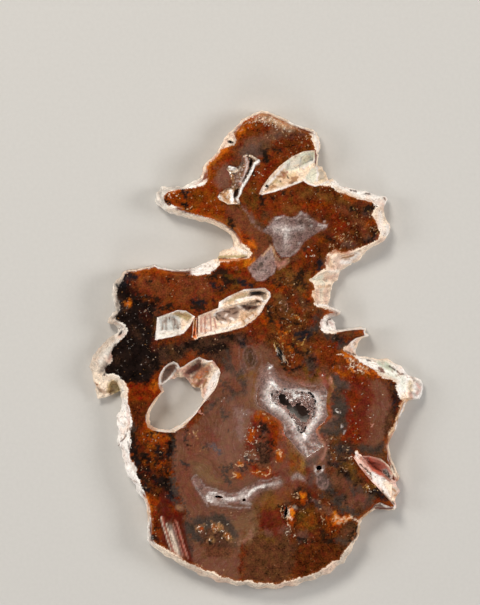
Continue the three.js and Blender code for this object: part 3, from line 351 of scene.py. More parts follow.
# Dark mossy inclusions.
MOSS = [
    ("moss", 1.3, 1.2, 0.95, "267,150 267,163 / 162,300 / 326,260 / 288,283 / 176,293 / 198,295 / 253,337 / 346,218"
     " / 269,280 / 327,236 333,240 / 201,303 205,309 / 293,281 295,287 / 205,273 212,278 / 167,201 169,205 / 258,209"
     " 261,211 / 332,186 338,190 / 272,198 / 249,204 / 258,166 / 254,170 252,176 / 340,216 / 356,233 / 222,343"
     " / 245,337"),
    ("moss", 2.1, 1.3, 0.95, "262,196 262,205 / 182,189 186,197 / 274,149 280,151 / 264,158 267,163 / 184,204"
     " 186,208 / 291,193 / 284,193 / 149,282 / 169,280 / 222,270 223,276 / 304,250 / 361,240 / 378,231 / 280,286"
     " / 296,324 / 239,342 / 222,336 232,337 / 158,309 170,307 / 135,296 150,297 158,300 / 268,307 269,315 273,322"
     " / 318,190 / 287,298 / 307,302 / 214,301 / 188,275 / 246,238 / 280,279 / 366,242 372,240 / 350,208 356,210"
     " / 298,276 302,280"),
    ("moss", 3, 1.5, 0.95, "302,272 / 374,234 / 222,289 226,284 226,272 / 232,230 230,220 / 169,305 / 337,338"
     " / 366,209 380,206 / 196,303 202,308 194,308 / 228,280 236,282 / 264,152 266,158 / 214,276 218,272"),
    ("ink", 2.3, 1.3, 0.95, "238,280 244,284 252,286 / 320,261 319,270 / 186,192 / 297,335 303,333 308,331 / 300,339"
     " 308,336 / 192,302 204,302 / 212,284 216,288 / 122,278 128,274 136,278 / 118,302 120,310 / 244,342 242,346"),
    ("soot", 2, 2, 0.85, "166,199 169,204 / 183,192 187,197 / 185,204 188,209"),
    ("olive", 2, 2, 0.8, "228,276 235,280 / 238,272 / 232,288 236,286 / 318,188 / 291,200 / 276,272 284,270 / 290,268"),
    ("soot", 3.5, 2, 0.9, "136,340 150,356 156,368 / 140,372 150,376 / 128,378 146,380 / 168,366 / 200,352 212,350"
     " 224,346 / 196,342 186,346 / 140,326 148,342 / 126,352 134,366"),
    # the centre
    ("moss", 1.5, 1.2, 0.95, "277,345 279,352 283,358 / 280,352 282,362 / 285,368 290,371 296,369 301,366 / 287,362"
     " 290,364 / 296,352 302,354 308,352 / 291,345 296,348 297,353 / 284,366 282,360 / 334,360 333,366 / 311,357"
     " 315,360 / 290,345 294,344 / 282,318 282,328 / 302,284 306,288 / 294,276 298,284 / 308,264 / 276,282 / 286,290"),
    # the left column
    ("soot", 2.2, 2, 0.9, "131,424 133,436 134,448 137,462 141,474 144,486 / 128,432 131,444 134,458"),
    ("moss", 1.3, 1, 0.95, "150,433 153,435 / 158,434 / 146,434 / 164,434 / 170,432 / 142,443 / 147,442 / 150,446"
     " / 158,444 / 155,448 / 138,450 / 147,438 / 133,438 137,446 / 165,447 / 186,430 / 186,440 188,446 / 176,450"
     " / 182,424 183,422 / 151,450 154,453 / 146,462 150,460 / 160,463 / 166,466 / 139,466 / 150,472 / 162,473"
     " / 156,480 / 147,482 / 172,470 / 170,478 170,484 / 150,492 / 166,482 / 140,498 / 152,504 / 158,510 / 156,522"
     " / 154,517 / 152,530 158,528 / 162,446"),
    ("moss", 2.2, 1.2, 0.95, "172,436 174,442 / 168,430 170,434 / 168,444 173,446 / 144,454 147,458 / 140,455"
     " 143,456 / 156,459 156,464 / 148,470 / 162,466 / 164,478 / 142,478 146,480 / 158,484 166,488 / 168,458"
     " / 170,492 172,498 / 132,434 134,440 / 152,536 158,540 / 158,446 / 136,474 140,478"),
    ("soot", 3, 2, 0.9, "146,468 148,472 / 160,455 162,458 / 165,470 / 168,488 171,492 / 146,456 150,460"),
    ("soot", 3, 1.5, 0.95, "158,450 160,454 / 168,456 170,452 / 134,456 138,462 / 132,448 135,454 / 160,480 165,484"
     " / 164,480 168,486 / 144,488 147,490 / 154,477 156,480 / 170,444 172,448"),
    ("ink", 1.6, 1.3, 0.9, "157,451 161,453 / 169,455 / 137,462 138,465 / 146,486 148,490 / 168,497 172,501"
     " / 184,463 186,466 / 170,495 / 172,488 173,494 / 154,480"),
    ("storm", 1.7, 2, 0.7, "215,448 219,451 222,454 / 211,445 214,446"),
    ("slate", 2, 1.6, 0.9, "172,478 174,488 176,496 / 174,500 180,506 / 222,468 226,478 230,484 / 226,470 232,466"
     " / 224,474 / 182,462 187,465 / 222,412 224,418 / 246,458 250,462 / 246,466 240,469 / 206,446 / 132,424 134,430"
     " / 192,386 / 212,406"),
    ("slate", 1, 1.2, 0.85, "173.5,440 173.5,470 176,485 180,497 186,509 190,520 / 222,380 224,386 / 224,390"
     " / 228,430 / 208,430 / 186,434 185,440 / 192,436 / 204,446 206,450 / 230,412 / 244,392"),
    # the whorl
    ("moss", 1.2, 1, 0.95, "261,421 263,424 / 261,428 262,433 264,434 / 264,428 267,431 270,432 / 266,426 / 262,424"
     " 266,428 / 258,444 264,446 / 268,442 272,444 / 256,450 262,452 / 266,448 271,450 / 260,456 266,458 270,456"
     " / 256,462 264,462 / 272,442 274,440 / 268,461 270,458 / 261,437 264,438"),
    ("dusk", 2, 1.4, 0.9, "256,446 262,448 268,446 / 260,454 268,454 / 262,460 268,460"),
    ("ink", 1.2, 1.2, 0.8, "248,464 251,462 / 238,470 244,470 / 263,432 265,432"),
    # druse side and lower right
    ("moss", 1.1, 1, 0.95, "334,408 336,412 / 339,414 342,414 / 334,411 / 343,411 / 329,462 331,466 / 340,458"
     " 343,461 / 350,451 / 345,470 / 332,452 / 340,472 / 355,490 354,484 / 335,499 339,501 / 343,497 347,499"
     " / 345,504 / 332,506 / 327,498 / 348,474 350,478 / 330,492 332,495 / 340,482 / 322,532 324,538 / 328,535"
     " / 318,505 / 362,463 / 374,490 / 378,486"),
    ("slate", 2.2, 1.5, 0.9, "330,488 334,494 / 338,503 340,508 / 322,496 / 334,502 / 350,512 356,514 / 348,450"
     " / 335,447 / 352,488 354,494 / 316,502 320,508 / 340,512 350,508"),
    ("ink", 1.6, 1.3, 0.8, "376,490 380,493 / 382,496 385,500 / 338,464 / 344,458 / 396,392 398,400 / 394,402"
     " 394,410 / 390,384"),
    ("moss", 2, 1.4, 0.95, "280,506 283,509 / 300,539 306,541 / 312,541 / 324,541 332,541 / 352,534 356,528"
     " / 350,540 / 210,540 212,545"),
    ("soot", 1.6, 1, 1, "287,507 286,513 285,517"),
]

# Clear and milky quartz let into the face.
QUARTZ = [
    ("walnut", None, 3, 0.3, "258,230 266,224 272,213 285,211 298,213 304,208 316,216 332,222 330,232 322,236"
     " 308,248 300,260 286,262 276,258 270,246"),
    ("smoke", None, 1, 1, "262,230 270,226 274,218 283,215 289,218 296,217 301,212 307,214 313,219 320,224 328,224"
     " 326,229 320,231 312,236 304,242 299,250 294,255 287,257 281,257 276,250 273,242 272,236 266,233"),
    ("quartz", 5, 5, 0.65, "280,230 288,236 285,246 / 276,226 282,226"),
    ("pewter", 3, 3, 0.5, "298,217 306,222 300,224 / 304,226 312,226"),
    ("milk", 2.2, 4, 0.6, "286,229 286,240 / 276,229 292,229 302,228"),
    ("snow", 0.9, 1.6, 0.5, "284,229 289,231 / 286,234 285,238 / 301,213 / 311,226"),
    ("smoke", 2.2, 2, 0.6, "294,236 299,240 294,248 289,242 / 278,240 280,248 / 306,236 / 268,230 / 281,243 282,238"),
    ("quartz", 0.6, 0.9, 0.7, "264,231 268,227 272,226 276,218 284,216 289,219 296,218 301,213 306,215 / 282,256"
     " 290,256 298,249 / 274,244 277,250 282,256 / 305,218 312,221 / 296,222 300,218"),
    ("milk", 0.9, 0.9, 0.8, "319,225 326,226 / 322,228 / 324,222 / 276,219 280,217 / 290,245 / 299,243"),
    ("lilac", None, 1, 1, "248,267 255,261 266,252 271,245 274,258 276,265 274,273 268,277 262,281 256,280 252,274"),
    ("quartz", 3.5, 4, 0.5, "262,262 268,256 / 258,274 266,270"),
    ("quartz", 0.6, 0.9, 0.7, "249,268 252,274 257,280 263,280 269,276 274,272 276,266 / 271,247 273,256 275,262"),
    ("slate", 1.3, 1.2, 0.85, "258,269 260,264 263,262 / 254,269 / 262,266 / 256,265 / 266,258 / 262,270"),
    ("sand", 0.7, 0.9, 0.7, "272,247 276,258 279,269 284,266 289,261 / 276,256 281,262 288,259 / 262,256 268,250"
     " 271,246"),
    ("clay", None, 1, 0.8, "275,256 280,261 286,258 289,263 284,267 279,269"),
    ("blush", 1.4, 1.6, 0.7, "280,266 285,262 / 276,262 279,266"),
    # the pale fan round the druse
    ("lilac", None, 3.5, 0.6, "260,372 267,365 280,376 296,382 316,385 325,384 327,398 326,410 323,418 317,426"
     " 315,434 322,444 318,452 307,461 294,452 281,434 280,422 264,412 255,404 255,390"),
    ("quartz", None, 3.5, 0.4, "264,378 271,376 278,381 290,385 306,388 322,388 324,400 323,414 315,424 314,434"
     " 320,444 306,456 294,446 284,432 284,422 266,410 261,400 262,384"),
    ("smoke", 0.8, 1, 0.7, "262,384 268,386 / 261,390 266,391 / 262,396 267,397 / 264,403 270,402 / 324,392 319,394"
     " / 326,400 320,401 / 325,408 319,409 / 322,418 318,415 / 272,410 274,405 / 280,416 282,411 / 318,438 312,434"
     " / 316,446 310,440 / 296,446 299,440 / 288,436 292,431 / 272,380 275,385 / 288,384 288,389 / 298,387 298,391"),
    # the orange and ochre bands that hug it
    ("ochre", 1.3, 1.6, 0.7, "327,378 331,385 330,392 328,400 327,405"),
    ("amber", 1.3, 1.6, 0.75, "327,405 331,411 330,417 324,422 318,427 316,431"),
    ("blush", 0.9, 1.4, 0.6, "317,430 319,436 323,441 326,448 325,454 322,459"),
    ("amber", 1.7, 2, 0.7, "258,412 264,413 271,416 278,421 283,430 287,438"),
    ("ochre", 2, 2.5, 0.7, "288,440 294,449 300,457 / 290,456 298,464"),
    ("milk", 1.2, 1.4, 0.8, "268,368 271,366 / 268,379 272,382 / 309,448 307,455 / 304,447 303,451 / 312,444 316,446"
     " / 322,446"),
    ("snow", 0.9, 1, 1, "269.5,367.5 271.5,366.5"),
    ("lilac", None, 2, 0.8, "291,479 294,474 297,472 301,474 305,478 306,482 302,480 296,479"),
    # the pale seam
    ("pewter", None, 4, 0.35, "190,478 196,472 204,482 214,485 228,490 240,486 256,477 270,478 280,474 286,482"
     " 278,490 266,494 256,498 252,508 240,511 212,508 206,513 198,498"),
    ("lilac", None, 1.8, 0.6, "192,480 196,475.5 199,480 204,488 213,489 220,491 228,494 236,494 243,489 250,486"
     " 258,482 266,484 271,482 277,478.5 283,481 282,486 275,489 266,490 258,493 253,498 248,503 240,504 224,503"
     " 212,502 205,503 201,496 196,488"),
    ("milk", 2.6, 3, 0.6, "244,500 / 209,497 214,500"),
    ("milk", 1.8, 2, 0.75, "209,495 214,495 222,496 / 212,499 / 240,498 248,495 254,489"),
    ("milk", 1.2, 1.6, 0.8, "222,498 234,498 244,495 / 254,489 264,485.5 272,484 / 225,500 236,500 / 240,494 247,491"),
    ("snow", 0.8, 1.2, 0.8, "207,496 208,500 212,502 / 210,493 216,493 / 226,499 234,499 / 250,492 256,488 264,486"
     " / 246,497 250,494"),
    ("quartz", 1.6, 1.5, 0.8, "274,484 280,482 / 242,502 250,504 / 214,502 226,503"),
    ("quartz", 0.5, 0.8, 0.8, "192,479 194,476 197,475 / 196,487 201,494 205,500 / 200,479 205,487 214,489 222,492"
     " 230,494 238,493 246,488 / 193,482 198,490 204,498 208,506 / 212,505 226,506 240,508 250,508 / 258,480 266,481"
     " 274,478 280,477"),
    ("smoke", 0.5, 0.8, 0.6, "226,497 234,496.5 240,496 / 226,502 236,502.5 / 204,492 208,491"),
    # white spots right of the druse and the crystal oval below it
    ("slate", None, 1.6, 0.9, "331,406 336,402 342,405 346,412 345,417 339,418 333,414"),
    ("milk", 0.7, 0.8, 0.9, "341,425 342,427 / 345,431 344,433"),
    ("pewter", None, 1.2, 1, "317,474 321,472 326,474 329,480 328,487 324,490 319,488 316,481"),
    ("smoke", 2, 1.5, 0.8, "320,478 325,482 / 322,486"),
    ("lilac", 0.7, 0.8, 0.8, "317,475 317,483 320,488 325,489 328,485 328,479 / 322,484 326,483"),
    ("quartz", 0.9, 0.9, 0.9, "315,466 315,471 317,474 / 323,466 323,470 320,472 / 318,474"),
    ("snow", 0.8, 0.8, 0.9, "316,470 / 322,470"),
    ("quartz", 1.5, 1.6, 0.6, "293,478 297,475 302,478"),
    # fine layers round the eye above the fan
    ("lilac", 0.4, 0.7, 0.5, "246,346 252,347 256,353 257,361 253,368 247,369 244,362 243,353 246,346 / 248,351"
     " 252,352 254,358 252,364 249,363 247,357 248,351 / 240,346 239,356 241,367 246,375 / 260,352 262,362 258,372"),
    # the eye beside the left column
    ("walnut", 3.8, 1, 0.9, "178,507 181,508"),
    ("clay", 2.8, 1, 1, "178,507 181,508"),
    ("tan", 1.4, 1.4, 0.5, "178,507 180,508"),
]

# Pale threads and larger crumbs in the moss: mineral, half width and paths.
CRUMBS = [
    ("sand", 0.45, "184,210 190,209 192,206 / 170,191 173,193 / 168,196 171,197 / 174,189 178,190 / 177,196 179,194"),
    ("cream", 0.45, "258,117 262,119 266,118 / 268,120 272,119 275,122 / 277,121 281,124 / 268,116 272,118"),
    ("blush", 0.3, "279,303 281,302 / 285,301 287,304 288,309 286,312 / 281,311 280,307 / 286,318 / 287,323 / 302,311"),
    ("gold", 0.5, "293,318 294,315 297,315 300,318 298,320 / 302,345 304,341 306,337 / 303,348 / 276,349 275,345"),
    ("sand", 0.35, "274,344 276,351 / 280,345 284,349 282,354 285,358 287,362 288,366 290,369 / 285,358 289,356 293,357"
     " / 291,366 288,366 / 278,337 280,339 / 275,337 278,338 / 283,332 / 286,334"),
    ("snow", 0.5, "251,331 / 265,316 / 162,284 / 187,297 / 311,347 / 333,347 / 129,347 / 269,371 / 321,377 323,375"
     " / 290,349"),
    ("blush", 0.8, "197,410 200,413 204,414.5 / 200,413 200,410"),
    ("sand", 0.5, "191,428 / 193,431 194,433 / 196,436 / 186,426 / 190,434 / 198,430"),
    ("sand", 0.5, "252,472 256,473 260,471 262,474 266,476 270,473 270,469 267,467 / 262,413 266,415 269,419 270,424"
     " / 276,452 279,449 282,452 281,456 / 238,465 242,467 / 234,477 237,476"),
    ("sand", 0.8, "235,464 239,466 243,465 / 233,473 236,475 / 279,453 281,457 / 276,462"),
    ("milk", 0.4, "221,401 225,398 / 244,416 243,413 247,415 / 240,412 242,410"),
    ("cream", 0.6, "336,354 342,354.5 348,357 353,361 / 350,363 351,366 354,367 / 355,364 358,366 / 357,370 361,370"
     " 362,373 / 352,369 355,372 / 360,366 364,369"),
    ("flame", 1.1, "344,356 350,357 / 351,368 354,372 / 366,371 370,374 / 358,367 362,369 / 347,360 349,363"),
    ("blush", 0.45, "370,423 372,425 / 374,424 371,427 / 376,426 / 362,384 / 335,497"),
    ("gold", 0.6, "366,484 368,486 367,489 / 363,487 366,487 / 372,485 376,487 / 378,490"),
    ("tan", 0.5, "331,438 333,437 / 331,451 333,454 / 345,469 348,469 / 337,455"),
    ("sand", 0.45, "332,520 335,516 338,519 / 340,519 346,519 352,518 357,520 361,521 / 336,523 342,522 346,521"),
    ("sand", 0.45, "282,506 281,511 282,516 285,519 / 288,520 286,516 / 294,494 297,493 299,497 296,499 294,497"),
    ("sand", 0.4, "303,511 305,513 / 321,516 323,520 322,524 / 287,522 289,527 / 290,530 292,532 / 309,519"),
    ("cream", 0.5, "212,524 213,528 216,530 218,528 / 220,531 224,531 / 197,528 200,526 / 198,531 201,533 / 225,533"
     " 229,536 228,540 / 209,539 211,541"),
]

# Specks and crumbs strewn through the stone: mineral, half width, how many, and the outline that they lie in.
STREWN = [
    ("cream", 0.6, 120, "250,116 262,111 282,120 300,129 288,132 270,127 256,124 246,124"),
    ("sand", 0.6, 60, "232,136 246,119 258,114 264,122 246,130"),
    ("sand", 0.5, 60, "264,168 284,150 300,138 314,132 312,148 296,154 280,166"),
    ("sand", 0.45, 40, "262,132 300,130 306,142 276,150 268,140"),
    ("cream", 0.5, 22, "254,172 266,168 268,182 258,196 248,190"),
    ("cream", 0.55, 16, "164,188 182,188 180,200 166,200"),
    ("sand", 0.5, 44, "190,184 222,168 222,214 204,214 186,206"),
    ("sand", 0.5, 80, "266,206 280,190 330,184 352,196 344,214 330,222 310,208 290,206"),
    ("sand", 0.55, 80, "334,224 350,208 378,210 380,236 356,247 340,250 334,240"),
    ("gold", 0.6, 40, "334,224 350,208 378,210 380,236 356,247 340,250 334,240"),
    ("sand", 0.5, 50, "330,236 350,232 352,246 338,252 328,246"),
    ("cream", 0.6, 16, "304,244 318,244 316,264 306,262"),
    ("sand", 0.5, 90, "264,282 300,266 316,276 312,306 320,326 300,332 280,328 264,308"),
    ("cream", 0.6, 20, "278,298 302,300 304,322 284,324"),
    ("gold", 0.7, 34, "270,330 292,324 302,340 290,350 274,346"),
    ("cream", 0.45, 16, "300,338 342,336 344,354 304,354"),
    ("cream", 0.55, 14, "280,350 298,350 296,370 282,368"),
    ("sand", 0.45, 70, "124,274 214,272 240,276 234,292 200,300 150,312 130,300"),
    ("ash", 0.4, 150, "112,276 134,278 152,300 152,340 158,374 124,380 104,368 120,342 112,310"),
    ("sand", 0.45, 50, "138,300 160,320 154,342 220,336 228,352 190,352 170,362 150,362"),
    ("sand", 0.5, 70, "130,430 172,430 174,500 150,512 138,480"),
    ("cream", 0.5, 14, "140,434 162,434 160,442 142,442"),
    ("tan", 0.7, 22, "182,424 206,432 206,452 190,450"),
    ("sand", 0.5, 22, "149,506 160,506 161,545 150,545"),
    ("cream", 0.5, 90, "244,426 258,420 260,440 257,464 246,466 240,456"),
    ("sand", 0.6, 16, "230,460 246,457 246,468 236,480 226,476"),
    ("cream", 0.5, 34, "326,428 340,432 350,448 356,472 340,474 328,460"),
    ("sand", 0.6, 24, "326,428 340,432 350,448 356,472 340,474 328,460"),
    ("cream", 0.45, 56, "342,378 372,374 388,404 378,440 350,440 346,410"),
    ("blush", 0.5, 34, "326,348 352,360 360,388 340,382 328,370"),
    ("sand", 0.8, 70, "344,357 354,358 370,368 366,375 354,374 346,366"),
    ("sand", 0.6, 80, "278,500 296,488 320,496 352,514 356,540 300,550 280,534"),
    ("cream", 0.55, 24, "284,522 296,520 296,536 282,536"),
    ("cream", 0.6, 12, "360,480 380,480 380,493 362,493"),
    ("cream", 0.5, 30, "194,520 232,518 236,543 200,543"),
    ("sand", 0.45, 26, "176,510 250,505 252,520 190,518"),
    ("sand", 0.5, 46, "150,548 200,560 240,548 350,542 330,564 290,582 230,574 180,560"),
]

# Where only a thin outer skin is pale, and the stone's brown body slopes down inside it: the skin's
# width, how soft its inner side is, and the outline.
THIN_SKIN = [
    (1.7, 1.4, "256,100 312,118 316,134 306,134 290,127 258,119"),
    (1.8, 1.4, "196,182 200,160 218,142 224,146 226,152 208,180"),
    (1.5, 1.4, "233,132 232,120 250,106 260,108 262,120 240,134"),
    (0.8, 1, "126,264 190,262 192,276 126,280"),
    (3.5, 1.5, "176,206 212,212 236,224 246,240 232,246 220,232 176,220"),
    (2.4, 1.4, "140,490 152,500 154,545 140,545"),
    (2, 1.4, "384,436 398,436 396,462 384,462"),
    (1.5, 1.2, "354,506 376,502 376,514 362,524 362,545 352,545"),
    (4.5, 3.5, "104,272 126,272 122,316 112,320 104,316"),
]

# Circles round the hollows inside the face, whose edges the saw left clean: x, y and radius.
OPENED_BY_THE_SAW = [(292, 408, 60), (240, 180, 32), (220, 497, 9), (243, 500, 6), (286, 511, 9), (319, 468, 8),
                     (338, 410, 8), (284, 356, 14), (265, 187, 3), (352, 333, 15), (172, 325, 26), (235, 310, 46),
                     (285, 172, 38), (186, 395, 52), (374, 480, 32)]

# The outlines that the chalcedony's layers follow: the druse, the seam, the whorl and the outer walls.
GROWTH = [
    "264,366 278,376 300,386 326,386 330,410 318,430 322,446 308,459 284,434 282,422 266,410 259,400 261,384 264,366",
    "196,476 206,492 222,496 240,495 256,488 280,480",
    "256,418 270,420 276,432 274,450 266,462 254,458 250,440 256,418",
    "173,430 172,460 175,486 186,512 184,540",
]

